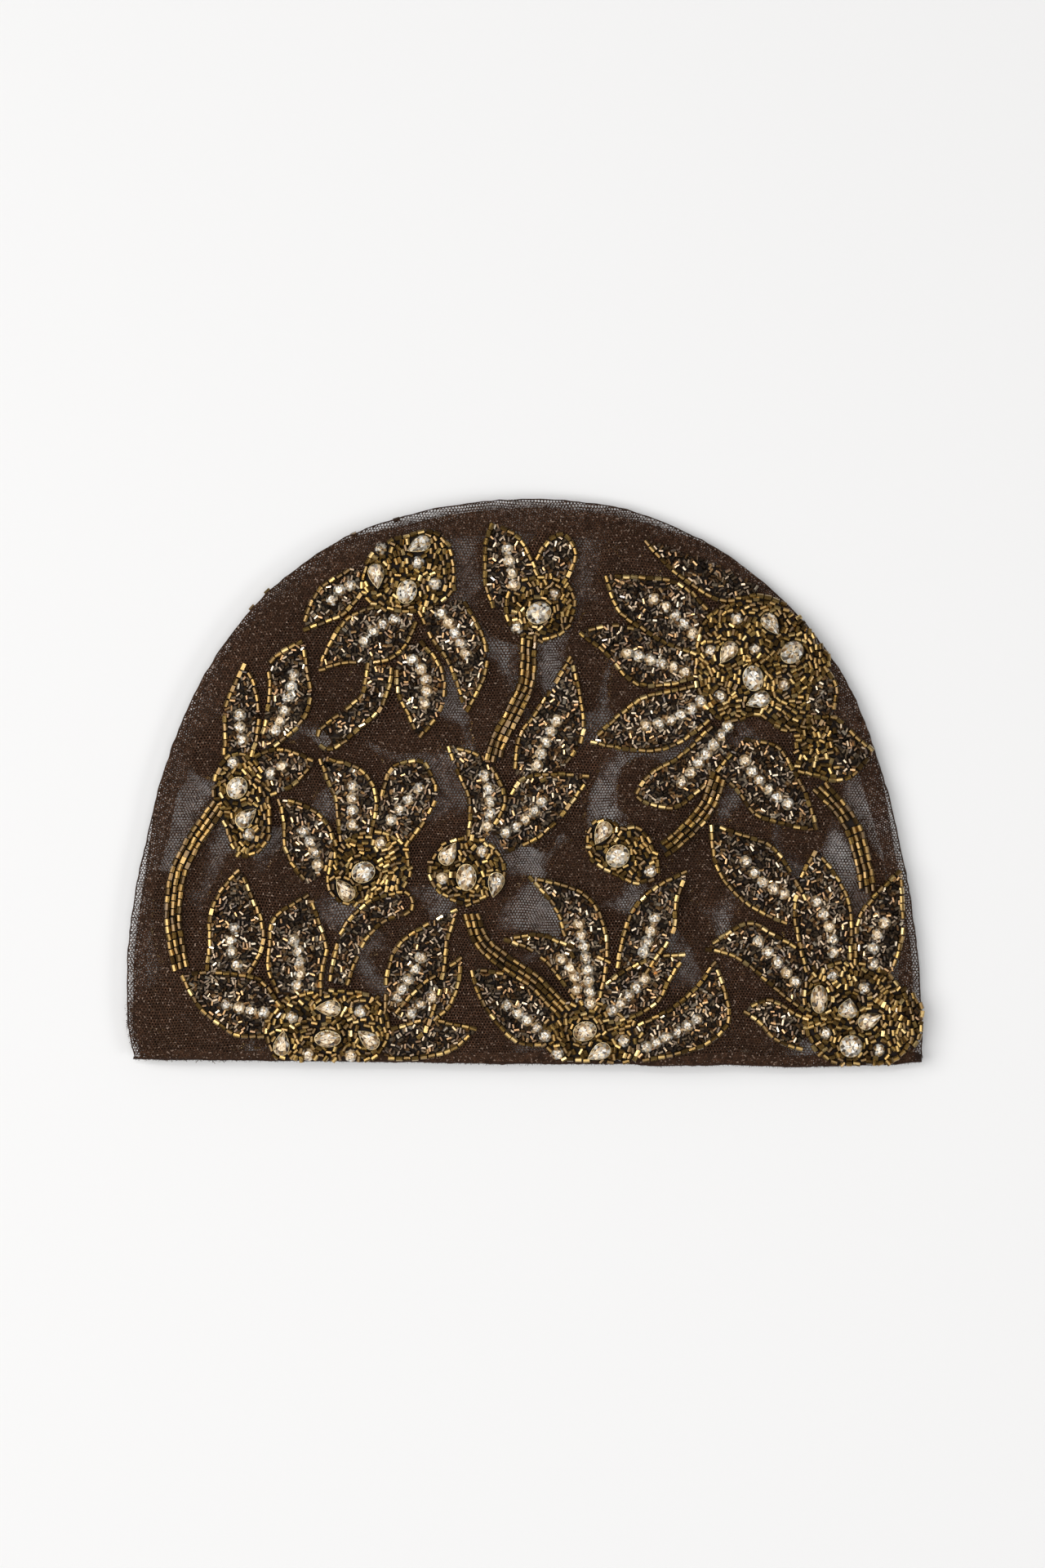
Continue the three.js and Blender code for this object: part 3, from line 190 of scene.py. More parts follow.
leaf_rows, centre_rows, band_rows = rows_of(LEAF_COLUMNS, LEAVES), rows_of(CENTRE_COLUMNS, CENTRES), rows_of(BAND_COLUMNS, BANDS)
stone_rows, round_rows, fold_rows = rows_of(STONE_COLUMNS, STONES), rows_of(ROUND_COLUMNS, ROUNDS), rows_of(FOLD_COLUMNS, FOLDS)
NAMES = {'TL': 'top_left_flower', 'TC': 'top_middle_flower', 'TR': 'top_right_flower', 'LT': 'left_flower', 'ML': 'middle_left_flower',
         'CB': 'middle_flower', 'CR': 'right_bud', 'BL': 'bottom_left_flower', 'BM': 'bottom_middle_flower', 'RG': 'bottom_right_flower'}
ORDER = {m: i for i, m in enumerate(NAMES)}


# ---- the panels' surfaces, mm -------------------------------------------
def reach_at(deg):
    return sum(np.interp(np.clip(deg + k * 0.9, 0, 180), REACH[:, 0], REACH[:, 1]) for k in range(-2, 3)) / 5


def hem_rise(x):
    return np.interp(x, HEM[:, 0], HEM[:, 1])


def rim_point(deg, share):
    r, a = reach_at(deg) * share, np.radians(deg)
    x, y = r * np.cos(a), r * np.sin(a)
    return x, MOUTH_Y + y + hem_rise(x) * np.maximum(0, 1 - y / 25)


def share_at(x, y):
    dy = y - MOUTH_Y - hem_rise(x) * np.maximum(0, 1 - (y - MOUTH_Y) / 25)
    deg = np.degrees(np.arctan2(np.maximum(dy, 0), x))
    return deg, np.hypot(x, dy) / reach_at(deg)


def step01(t):
    c = np.clip(t, 0, 1)
    return c * c * (3 - 2 * c)


def back_under(share):
    return FLAT_Z + RIM_RISE * step01((share - 0.8) / 0.2)


def fold_at(deg, share):
    return sum(f['height'] * np.exp(-((deg - f['angle']) / f['spread']) ** 2 - ((share - f['share']) / f['width']) ** 2) for f in fold_rows)


def front_over(deg, share):
    s = np.minimum(share, 1)
    puff = PUFF * np.maximum(1 - s ** 4, 0) ** 0.75
    return back_under(share) + 2 * WALL + GAP + puff + fold_at(deg, share) * np.minimum(1, (1 - s) * 12) - np.maximum(share - 1, 0) * 18


def wrinkle(x, y):
    """Fine puckers of the tulle between the bead work, mm."""
    return (0.10 * np.sin(x / 5.3 + 1.7 * np.sin(y / 9.1)) * np.sin(y / 6.7 + 1.3 * np.sin(x / 11.3))
            + 0.06 * np.sin(x / 2.9 + y / 4.1 + 2 * np.sin(y / 7.3)) * np.sin(y / 3.7 - x / 8.3))


def front_z(x, y):
    deg, share = share_at(x, y)
    return front_over(deg, share) - 0.1 + wrinkle(x, y) * np.clip((1 - share) * 20, 0, 1)


def back_z(x, y):
    deg, share = share_at(x, y)
    return back_under(share) + 0.15 + 0.5 * wrinkle(y, x) * np.clip((1 - share) * 20, 0, 1)


def to_row(points):
    return (np.asarray(points, float) + [SHIFT_X, SHIFT_Y, 0]) / 1000


# ---- plan curves --------------------------------------------------------
def catmull(p0, p1, p2, p3, t):
    return 0.5 * (2 * p1 + (p2 - p0) * t + (2 * p0 - 5 * p1 + 4 * p2 - p3) * t * t + (3 * p1 - p0 - 3 * p2 + p3) * t ** 3)


def smooth(values, s):
    v = np.asarray(values, float)
    n = len(v) - 1
    f = np.clip(s, 0, 1) * n
    i = np.minimum(np.floor(f).astype(int), n - 1)
    ext = np.concatenate([[2 * v[0] - v[1]], v, [2 * v[n] - v[n - 1]]])
    return catmull(ext[i], ext[i + 1], ext[i + 2], ext[i + 3], f - i)


def leaf_edges(l, steps=60):
    s = np.linspace(0, 1, steps + 1)
    d = np.array([l['tipX'] - l['baseX'], l['tipY'] - l['baseY']])
    length = np.hypot(*d)
    u = d / length
    n = np.array([-u[1], u[0]])
    along = (1 - (1 - s) ** 2 if l['blunt'] else s) * length
    base = np.array([l['baseX'], l['baseY']])
    left = base + np.outer(along, u) + np.outer(smooth([l['l0'], l['l1'], l['l2'], l['l3'], 0], s), n)
    right = base + np.outer(along, u) + np.outer(smooth([l['r0'], l['r1'], l['r2'], l['r3'], 0], s), n)
    return left, right


def centre_outline(c, count=72):
    reach = np.array([c['d%d' % (30 * k)] for k in range(12)])
    f = np.arange(count) / count * 12
    i = np.floor(f).astype(int)
    r = catmull(reach[(i - 1) % 12], reach[i % 12], reach[(i + 1) % 12], reach[(i + 2) % 12], f - i)
    a = f / 12 * 2 * math.pi
    return np.stack([c['x'] + r * np.cos(a), c['y'] + r * np.sin(a)], 1)


def band_lines(b, steps=60):
    s = np.linspace(0, 1, steps + 1)
    mid = np.stack([smooth([b['x%d' % k] for k in range(1, 6)], s), smooth([b['y%d' % k] for k in range(1, 6)], s)], 1)
    d = np.gradient(mid, axis=0)
    d /= np.linalg.norm(d, axis=1, keepdims=True)
    return mid, np.stack([-d[:, 1], d[:, 0]], 1), smooth([b['w1'], b['w3'], b['w5']], s)


def stone_row(l):
    n = l['stones']
    k = np.linspace(0, 1, n)[:, None] if n > 1 else np.array([[0.5]])
    a, m, c = np.array([l['startX'], l['startY']]), np.array([l['midX'], l['midY']]), np.array([l['endX'], l['endY']])
    b = 2 * m - 0.5 * (a + c)
    return (1 - k) ** 2 * a + 2 * k * (1 - k) * b + k * k * c


def inside(poly, x, y):
    odd = np.zeros(len(x), bool)
    for (x1, y1), (x2, y2) in zip(poly, np.roll(poly, -1, 0)):
        if y1 != y2:
            odd ^= ((y1 > y) != (y2 > y)) & (x < (x2 - x1) * (y - y1) / (y2 - y1) + x1)
    return odd


def edge_gap(poly, x, y):
    best = np.full(len(x), 1e9)
    for a, b in zip(poly, np.roll(poly, -1, 0)):
        d = b - a
        t = np.clip(((x - a[0]) * d[0] + (y - a[1]) * d[1]) / max((d * d).sum(), 1e-9), 0, 1)
        best = np.minimum(best, np.hypot(x - a[0] - d[0] * t, y - a[1] - d[1] * t))
    return best


# ---- where every bead goes, in plan -------------------------------------
GOLD_L, GOLD_R, FILL_L, FILL_R = 2.36, 0.86, 1.62, 0.55
BEAD_COLUMNS = ['motif', 'kind', 'x', 'y', 'turn', 'length', 'radius', 'lift', 'pitch', 'roll', 'tone']
beads = []           # rows in BEAD_COLUMNS; kind 0 is a large gold bead and 1 a small pewter one
thread = []          # motif, x1, y1, x2, y2
cells = {}


def spots_of(x, y, turn, length, radius):
    h = max(length / 2 - radius * 0.8, 0)
    c, s = math.cos(turn) * h, math.sin(turn) * h
    return ((x - c, y - s), (x - c / 2, y - s / 2), (x, y), (x + c / 2, y + s / 2), (x + c, y + s))


def room_for(x, y, turn, length, radius, keep):
    spots = spots_of(x, y, turn, length, radius)
    i, j = int(x // 2.5), int(y // 2.5)
    for a in (i - 1, i, i + 1):
        for b in (j - 1, j, j + 1):
            for (px, py, pr) in cells.get((a, b), ()):
                need = (radius + pr) * keep
                need *= need
                for (sx, sy) in spots:
                    if (sx - px) * (sx - px) + (sy - py) * (sy - py) < need:
                        return False
    return True


def lay(motif, kind, x, y, turn, length, radius, tone, lift=0.0, pitch=0.0):
    for (sx, sy) in spots_of(x, y, turn, length, radius):
        cells.setdefault((int(sx // 2.5), int(sy // 2.5)), []).append((sx, sy, radius))
    beads.append((ORDER[motif], kind, x, y, turn, length, radius, lift, pitch, rng.uniform(0, math.pi / 3), tone))


discs = [(r['motif'], r['x'], r['y'], 0.0) for r in round_rows]
for l in leaf_rows:
    if l['stones']:
        discs += [(l['motif'], float(x), float(y), 0.0) for x, y in stone_row(l)]
disc_xy = np.array([d[1:3] for d in discs], float)
stone_xy = np.array([[s['x'], s['y'], s['length'] / 2, s['width'] / 2, math.radians(s['turn'])] for s in stone_rows], float)


def clear_of_stones(x, y, margin):
    ok = np.ones(len(x), bool)
    for (px, py) in disc_xy:
        ok &= (x - px) ** 2 + (y - py) ** 2 > (ROUND_D / 2 + margin) ** 2
    for (px, py, a, b, turn) in stone_xy:
        c, s = math.cos(turn), math.sin(turn)
        u, v = ((x - px) * c + (y - py) * s) / (a + margin), (-(x - px) * s + (y - py) * c) / (b + margin)
        ok &= u * u + v * v > 1
    return ok


def on_cap(x, y, past=0.995):
    deg, share = share_at(x, y)
    return (share < past) & (y > MOUTH_Y + hem_rise(x) + 0.4)


centres = [(c['motif'], centre_outline(c)) for c in centre_rows]


def in_centre(x, y, depth):
    hit = np.zeros(len(x), bool)
    for m, outline in centres:
        hit |= inside(outline, x, y) & (edge_gap(outline, x, y) > depth)
    return hit


def walk(line, pitch, start=0.0):
    d = np.concatenate([[0], np.cumsum(np.linalg.norm(np.diff(line, axis=0), axis=1))])
    t = np.arange(start, d[-1], pitch)
    e = 0.4
    dx = np.interp(t + e, d, line[:, 0]) - np.interp(t - e, d, line[:, 0])
    dy = np.interp(t + e, d, line[:, 1]) - np.interp(t - e, d, line[:, 1])
    return np.interp(t, d, line[:, 0]), np.interp(t, d, line[:, 1]), np.arctan2(dy, dx)


def lay_line(motif, line, pitch=2.62, start=1.25, keep=0.86, past=0.995, wander=0.12, avoid=True, stout=1.0):
    x, y, turn = walk(line, pitch, start)
    x, y, turn = x + rng.normal(0, wander * 0.6, len(x)), y + rng.normal(0, wander * 0.6, len(x)), turn + rng.normal(0, 0.07, len(x))
    ok = on_cap(x, y, past) & clear_of_stones(x, y, 0.5)
    if avoid:
        ok &= ~in_centre(x, y, 0.9)
    last = None
    for k in range(len(x)):
        length, radius = GOLD_L * rng.uniform(0.92, 1.05), GOLD_R * stout * rng.uniform(0.94, 1.05)
        if not ok[k] or not room_for(x[k], y[k], turn[k], length, radius, keep):
            last = None
            continue
        lay(motif, 0, x[k], y[k], turn[k], length, radius, rng.uniform() * 0.74 if stout > 1 else rng.uniform(0.14, 1))
        if last is not None:
            thread.append((ORDER[motif], last[0], last[1], x[k], y[k]))
        last = (x[k], y[k])


def scatter(outline, density):
    low, high = outline.min(0), outline.max(0)
    n = int((high - low).prod() * density)
    x, y = rng.uniform(low[0], high[0], n), rng.uniform(low[1], high[1], n)
    ok = inside(outline, x, y)
    return x[ok], y[ok]


# stems first, then the bent tails, then the leaves' outlines
for b in band_rows:
    mid, n, w = band_lines(b)
    if b['name'].startswith('S'):
        ahead = [(mid[0] - mid[1]) / np.linalg.norm(mid[0] - mid[1]), (mid[-1] - mid[-2]) / np.linalg.norm(mid[-1] - mid[-2])]
        more = [2.6 if in_centre(*(end + out * 2.6)[:, None], 0.0)[0] else 0.0 for end, out in zip((mid[0], mid[-1]), ahead)]
        line = np.vstack([mid[:1] + ahead[0] * more[0], mid, mid[-1:] + ahead[1] * more[1]])
        for row in (-1, 0, 1):
            lay_line(b['motif'], line + np.vstack([n[:1], n, n[-1:]]) * row * 1.98, pitch=2.5, start=0.6 + 0.6 * (row + 1), wander=0.1, keep=0.74, stout=1.10)
        continue
    at_start = b['name'] == 'ML_D'
    end, out, side = (mid[0], mid[0] - mid[2], n[0]) if at_start else (mid[-1], mid[-1] - mid[-3], n[-1])
    out = out / np.linalg.norm(out)
    width = w[0] if at_start else w[-1]
    half = np.linspace(math.pi / 2, -math.pi / 2, 9)[1:-1]
    tip = np.array([end + width * (math.cos(a) * out + math.sin(a) * side) for a in half])
    if at_start:
        line = np.concatenate([(mid + n * w[:, None])[::-1], tip, mid - n * w[:, None]])
    else:
        line = np.concatenate([mid + n * w[:, None], tip, (mid - n * w[:, None])[::-1]])
    lay_line(b['motif'], line)
for l in leaf_rows:
    left, right = leaf_edges(l)
    if l['name'] == 'TR_H':
        lay_line(l['motif'], left[::-1])
        continue
    lay_line(l['motif'], left[::-1])
    lay_line(l['motif'], right[::-1], start=1.6)

# flower centres: a loose ring, then beads that lie round the stones and otherwise any way
for m, outline in centres:
    wraps = m == 'RG' and outline[:, 0].max() > 128
    past = 1.05 if wraps else 0.999
    mid = outline.mean(0)
    ring = mid + (outline - mid) * (1 - 0.75 / np.linalg.norm(outline - mid, axis=1, keepdims=True))
    lay_line(m, np.concatenate([ring, ring[:1]]), pitch=2.6, keep=0.84, past=past, wander=0.3, avoid=False)
    x, y = scatter(outline, 20)
    ok = clear_of_stones(x, y, 0.5) & on_cap(x, y, past)
    flow = rng.uniform(0, math.pi)
    for px, py in zip(x[ok], y[ok]):
        d, ds = disc_xy - [px, py], stone_xy[:, :2] - [px, py]
        near, big = np.argmin((d ** 2).sum(1)), np.argmin((ds ** 2).sum(1))
        turn = flow + 0.9 * math.sin(px / 8 + flow) + 0.8 * math.cos(py / 7) + rng.normal(0, 0.28)
        if (ds[big] ** 2).sum() < 6.2 ** 2:
            turn = math.atan2(ds[big][1], ds[big][0]) + math.pi / 2 + rng.normal(0, 0.3)
        elif (d[near] ** 2).sum() < 4 ** 2:
            turn = math.atan2(d[near][1], d[near][0]) + math.pi / 2 + rng.normal(0, 0.3)
        small = wraps and rng.random() < 0.5
        length, radius = (FILL_L * 1.15, 0.55) if small else (GOLD_L * rng.uniform(0.78, 0.98), GOLD_R * rng.uniform(0.88, 1.0))
        if room_for(px, py, turn, length, radius, 0.70):
            lay(m, 1 if small else 0, px, py, turn, length, radius, rng.uniform(), rng.uniform(0, 0.45), rng.normal(0, 0.12))

# small beads in the leaves and in the bent tails
regions = []
for l in leaf_rows:
    left, right = leaf_edges(l, 24)
    regions.append((l['name'], l['motif'], np.concatenate([right, left[::-1]])))
for b in band_rows:
    if not b['name'].startswith('S'):
        mid, n, w = band_lines(b, 24)
        regions.append((b['name'], b['motif'], np.concatenate([mid - n * w[:, None], (mid + n * w[:, None])[::-1]])))
for name, m, outline in regions:
    x, y = scatter(outline, 20)
    ok = clear_of_stones(x, y, 0.25) & on_cap(x, y) & ~in_centre(x, y, 0.6)
    for px, py in zip(x[ok], y[ok]):
        turn = rng.uniform(0, math.pi)
        gold = name == 'TR_F' and px < 101
        length, radius = (GOLD_L * 0.9, GOLD_R * 0.95) if gold else (FILL_L * rng.uniform(0.8, 1.15), FILL_R * rng.uniform(0.88, 1.1))
        if room_for(px, py, turn, length, radius, 0.69):
            lay(m, 0 if gold else 1, px, py, turn, length, radius, rng.uniform(), rng.uniform(0, 0.6), rng.normal(0, 0.2))
beads = np.array(beads, float)
thread = np.array(thread, float)


# ---- mesh helpers -------------------------------------------------------
class Pile:
    """Gathers polygons with a colour and a material index each, then makes one mesh."""

    def __init__(self):
        self.verts, self.loops, self.sizes, self.colours, self.mats, self.count = [], [], [], [], [], 0

    def add(self, verts, loops, sizes, colours, mat):
        verts = np.asarray(verts, float).reshape(-1, 3)
        self.verts.append(verts)
        self.loops.append(np.asarray(loops, int) + self.count)
        self.sizes.append(np.asarray(sizes, int))
        self.colours.append(np.broadcast_to(np.asarray(colours, float), (len(sizes), 3)))
        self.mats.append(np.full(len(sizes), mat))
        self.count += len(verts)

    def grid(self, points, colour, mat, closed=False):
        """Quads between the rows of a (rows, columns, 3) grid of points."""
        r, c = points.shape[:2]
        i, j = np.meshgrid(np.arange(r - 1), np.arange(c if closed else c - 1), indexing='ij')
        k = (j + 1) % c
        quads = np.stack([i * c + j, i * c + k, (i + 1) * c + k, (i + 1) * c + j], -1).reshape(-1, 4)
        self.add(points, quads.ravel(), np.full(len(quads), 4), colour, mat)

    def build(self, name, materials, smooth_mats=()):
        verts, loops = np.concatenate(self.verts), np.concatenate(self.loops)
        sizes, colours, mats = np.concatenate(self.sizes), np.concatenate(self.colours), np.concatenate(self.mats)
        me = bpy.data.meshes.new(name)
        me.vertices.add(len(verts))
        me.vertices.foreach_set('co', to_row(verts).astype(np.float32).ravel())
        me.loops.add(len(loops))
        me.loops.foreach_set('vertex_index', loops.astype(np.int32))
        me.polygons.add(len(sizes))
        me.polygons.foreach_set('loop_start', np.concatenate([[0], np.cumsum(sizes)[:-1]]).astype(np.int32))
        me.polygons.foreach_set('loop_total', sizes.astype(np.int32))
        me.polygons.foreach_set('material_index', mats.astype(np.int32))
        me.polygons.foreach_set('use_smooth', np.isin(mats, smooth_mats))
        me.update(calc_edges=True)
        at = me.attributes.new('tint', 'FLOAT_COLOR', 'CORNER')
        rgba = np.ones((len(loops), 4), np.float32)
        rgba[:, :3] = np.repeat(colours, sizes, axis=0)
        at.data.foreach_set('color', rgba.ravel())
        for m in materials:
            me.materials.append(m)
        ob = bpy.data.objects.new(name, me)
        bpy.context.scene.collection.objects.link(ob)
        return ob


def turned(sections, sides=6):
    """A closed turned shape along X: sections are (x, radius); both ends are closed flat."""
    a = (np.arange(sides) + 0.5) * 2 * math.pi / sides
    verts = np.concatenate([np.stack([np.full(sides, x), r * np.cos(a), r * np.sin(a)], 1) for x, r in sections])
    loops, sizes, dark = [], [], []
    for i in range(len(sections) - 1):
        for k in range(sides):
            p, q = i * sides + k, i * sides + (k + 1) % sides
            loops += [p, q, q + sides, p + sides]
            sizes.append(4)
            dark.append(0.0)
    loops += list(range(sides))[::-1] + list(range((len(sections) - 1) * sides, len(sections) * sides))
    return verts, np.array(loops), np.array(sizes + [sides, sides]), np.array(dark + [1.0, 1.0])


# unit shapes: length 1 along X and radius 1
GOLD_FULL = turned([(-0.5, 0.82), (-0.45, 1), (0.45, 1), (0.5, 0.82)], 8)
GOLD_PLAIN = turned([(-0.5, 0.8), (-0.46, 1), (0.46, 1), (0.5, 0.8)])
FILL_PLAIN = turned([(-0.5, 0.95), (0.5, 0.95)])


def frames_on(side, x, y, turn, e=0.8):
    """Middle on the cloth, outward normal, along and across for pieces lying on the front (1) or under the back (-1)."""
    z_of = front_z if side > 0 else back_z
    z = z_of(x, y)
    gx, gy = (z_of(x + e, y) - z_of(x - e, y)) / (2 * e), (z_of(x, y + e) - z_of(x, y - e)) / (2 * e)
    out = np.stack([-gx, -gy, np.ones_like(gx)], 1) * side
    out /= np.linalg.norm(out, axis=1, keepdims=True)
    along = np.stack([np.cos(turn), np.sin(turn), np.zeros_like(turn)], 1)
    along -= out * (along * out).sum(1, keepdims=True)
    along /= np.linalg.norm(along, axis=1, keepdims=True)
    return np.stack([x, y, z], 1), out, along, np.cross(out, along)


def mirrored(side, x, turn):
    return (x, turn) if side > 0 else (-x, math.pi - turn)


def stand(rows, side, shape, pile, mat, colour_of):
    """Copies the unit shape to each bead row."""
    verts, loops, sizes, dark = shape
    x, turn = mirrored(side, rows[:, 2], rows[:, 4])
    length, radius, lift, pitch, roll = (rows[:, k] for k in range(5, 10))
    at, out, along, across = frames_on(side, x, rows[:, 3], turn)
    c, s = np.cos(pitch)[:, None], np.sin(pitch)[:, None]
    along, out2 = along * c + out * s, out * c - along * s
    at = at + out * (radius * 0.98 + 0.05 + lift + np.abs(s[:, 0]) * length * 0.4)[:, None]
    c, s = np.cos(roll)[:, None], np.sin(roll)[:, None]
    ya, za = across * c + out2 * s, out2 * c - across * s
    v = (at[:, None, :] + verts[None, :, 0, None] * (along * length[:, None])[:, None, :]
         + verts[None, :, 1, None] * (ya * radius[:, None])[:, None, :] + verts[None, :, 2, None] * (za * radius[:, None])[:, None, :])
    n, nv = len(rows), len(verts)
    all_loops = (loops[None] + (np.arange(n) * nv)[:, None]).ravel()
    shade = 1 - 0.88 * np.broadcast_to(dark[None, :, None], (n, len(sizes), 1))
    pile.add(v.reshape(-1, 3), all_loops, np.tile(sizes, n), (colour_of(rows)[:, None, :] * shade).reshape(-1, 3), mat)


def ramp(t, stops):
    at = [s[0] for s in stops]
    return np.stack([np.interp(t, at, [s[1][k] for s in stops]) for k in range(3)], -1)


def gold_colour(rows):
    return ramp(rows[:, 10], [(0, (0.070, 0.036, 0.007)), (0.25, (0.145, 0.079, 0.016)), (0.6, (0.25, 0.145, 0.034)), (0.88, (0.39, 0.25, 0.075)), (1, (0.66, 0.47, 0.20))])


def pewter_colour(rows):
    c = ramp(rows[:, 10], [(0, (0.034, 0.021, 0.012)), (0.35, (0.10, 0.066, 0.038)), (0.7, (0.22, 0.155, 0.094)), (0.92, (0.48, 0.37, 0.25)), (1, (0.80, 0.69, 0.53))])
    warm = (np.sin(rows[:, 2] * 91.7 + rows[:, 3] * 37.3) > 0.35)[:, None]
    return np.where(warm, c * [1.12, 0.86, 0.55], c)


def threads(pile, side, rows, mat, r=0.17, colour=(0.02, 0.013, 0.009)):
    """The thread that shows between neighbouring beads, as thin three-sided rods."""
    x1, x2 = (rows[:, 1], rows[:, 3]) if side > 0 else (-rows[:, 1], -rows[:, 3])
    turn = np.arctan2(rows[:, 4] - rows[:, 2], x2 - x1)
    a, out, along, across = frames_on(side, x1, rows[:, 2], turn)
    b = frames_on(side, x2, rows[:, 4], turn)[0]
    a, b = a + out * GOLD_R, b + out * GOLD_R
    corners = [(0.0, 1.0), (-0.87, -0.5), (0.87, -0.5)]
    v = np.stack([p + (across * cx + out * cz) * r for p in (a, b) for cx, cz in corners], 1)
    loops = np.array([0, 1, 4, 3, 1, 2, 5, 4, 2, 0, 3, 5])
    n = len(rows)
    pile.add(v.reshape(-1, 3), (loops[None] + (np.arange(n) * 6)[:, None]).ravel(), np.full(3 * n, 4), colour, mat)


# ---- stones -------------------------------------------------------------
def cut_stone(fold, table=0.56, deep=True):
    """A brilliant cut in a unit circle: z from 0 (foot) to 1 (table). Returns vertices, faces and each face's kind."""
    t = np.arange(fold) * 2 * math.pi / fold
    m = t + math.pi / fold
    g = np.arange(2 * fold) * math.pi / fold
    ring = lambda a, r, z: np.stack([np.cos(a) * r, np.sin(a) * r, np.full(len(a), z)], 1)
    verts = np.concatenate([ring(t, table, 1.0), ring(m, 0.80, 0.70), ring(g, 1.0, 0.34), ring(g, 0.97, 0.22), ring(g, 0.72, 0.0),
                            ring(m, 0.26, 1.0), [[0, 0, 1.0]]])
    T, M, G, W, F, I = 0, fold, 2 * fold, 4 * fold, 6 * fold, 8 * fold
    faces, kind = [], []
    for k in range(fold):
        n, p, g0 = (k + 1) % fold, (k - 1) % fold, 2 * k
        g1, g2 = (2 * k + 1) % (2 * fold), (2 * k + 2) % (2 * fold)
        faces += [[T + k, M + k, T + n], [T + k, M + p, G + g0, M + k], [M + k, G + g0, G + g1], [M + k, G + g1, G + g2]]
        kind += [1, 2, 3, 3]
        if deep:
            faces += [[T + k, T + n, I + k], [I + p, T + k, I + k], [9 * fold, I + p, I + k]]
            kind += [0, 0, 0]
    if not deep:
        faces.append([T + k for k in range(fold)])
        kind.append(0)
    for k in range(2 * fold):
        n = (k + 1) % (2 * fold)
        faces += [[W + k, W + n, G + n, G + k], [F + k, F + n, W + n, W + k]]
        kind += [4, 5]
    faces.append([F + k for k in range(2 * fold)][::-1])
    kind.append(5)
    used = np.unique(np.concatenate(faces))
    new = -np.ones(len(verts), int)
    new[used] = np.arange(len(used))
    return verts[used], [[int(new[v]) for v in f] for f in faces], np.array(kind)


ROUND_CUT, ROUND_BACK = cut_stone(8), cut_stone(6, deep=False)
OVAL_CUT = cut_stone(12, 0.6)
# Each stone facet gets a colour drawn at random along these ramps, from near black to near white: painted reflections
# and sparkle of a cut crystal, in a clear and a tan hue.
CLEAR = [(0, (0.035, 0.026, 0.017)), (0.25, (0.13, 0.104, 0.073)), (0.5, (0.34, 0.295, 0.225)), (0.78, (0.64, 0.585, 0.485)), (1, (0.93, 0.90, 0.83))]
TAN = [(0, (0.05, 0.026, 0.012)), (0.3, (0.24, 0.135, 0.055)), (0.6, (0.54, 0.36, 0.17)), (1, (0.88, 0.70, 0.46))]
STONE_TONES = {'white': (0.42, -0.02), 'peach': (0.80, -0.02), 'grey': (0.46, -0.14)}     # share of tan facets, shift of tone


def painted_facet_reflections(kind, tone, r):
    share, shift = STONE_TONES[tone]
    # painted light by facet kind: table and crown facets lighter, girdle and foot facets darker
    painted_facet_light = np.array([0.70, 0.60, 0.66, 0.42, 0.15, 0.12])[kind]
    t = np.clip(painted_facet_light + shift + r.normal(0, 0.38, len(kind)), 0, 1)
    c = np.where((r.uniform(0, 1, len(kind)) < share)[:, None], ramp(t, TAN), ramp(t, CLEAR))
    c[kind == 5] = (0.20, 0.14, 0.07)
    return c


def set_stone(pile, mat, shape, at, out, along, across, size, height, tone, r, outline=None):
    verts, faces, kind = shape
    v = verts.copy()
    if outline is not None:
        away = np.hypot(v[:, 0], v[:, 1])
        v[:, 1] *= np.where(away > 1e-3, outline(v[:, 0] / np.maximum(away, 1e-6)), 1)
        v[:, 0] -= 0.12 * (1 - away)
    p = at + np.outer(v[:, 0] * size[0], along) + np.outer(v[:, 1] * size[1], across) + np.outer(v[:, 2] * height, out)
    pile.add(p, np.concatenate(faces), [len(f) for f in faces], painted_facet_reflections(kind, tone, r), mat)


def pear(c):
    return 1.3 * (np.maximum(1 - c, 0) / 2) ** 0.5


# ---- materials ----------------------------------------------------------
def material(name, colour=(0.5, 0.5, 0.5), metallic=0.0, roughness=0.5, **sockets):
    m = bpy.data.materials.new(name)
    m.use_nodes = True
    tree = m.node_tree
    shader = tree.nodes['Principled BSDF']
    shader.inputs['Base Color'].default_value = (*colour, 1)
    shader.inputs['Metallic'].default_value = metallic
    shader.inputs['Roughness'].default_value = roughness
    for k, v in sockets.items():
        shader.inputs[k.replace('_', ' ').title().replace('Ior', 'IOR')].default_value = v
    m.diffuse_color = (*colour, 1)
    return m, tree, shader


def node(tree, kind, **values):
    n = tree.nodes.new(kind)
    for k, v in values.items():
        if k.startswith('in_'):
            n.inputs[int(k[3:])].default_value = v
        else:
            setattr(n, k, v)
    return n


def calc(tree, op, *args):
    n = tree.nodes.new('ShaderNodeMath')
    n.operation = op
    for i, a in enumerate(args):
        if isinstance(a, (int, float)):
            n.inputs[i].default_value = a
        else:
            tree.links.new(a, n.inputs[i])
    return n.outputs[0]


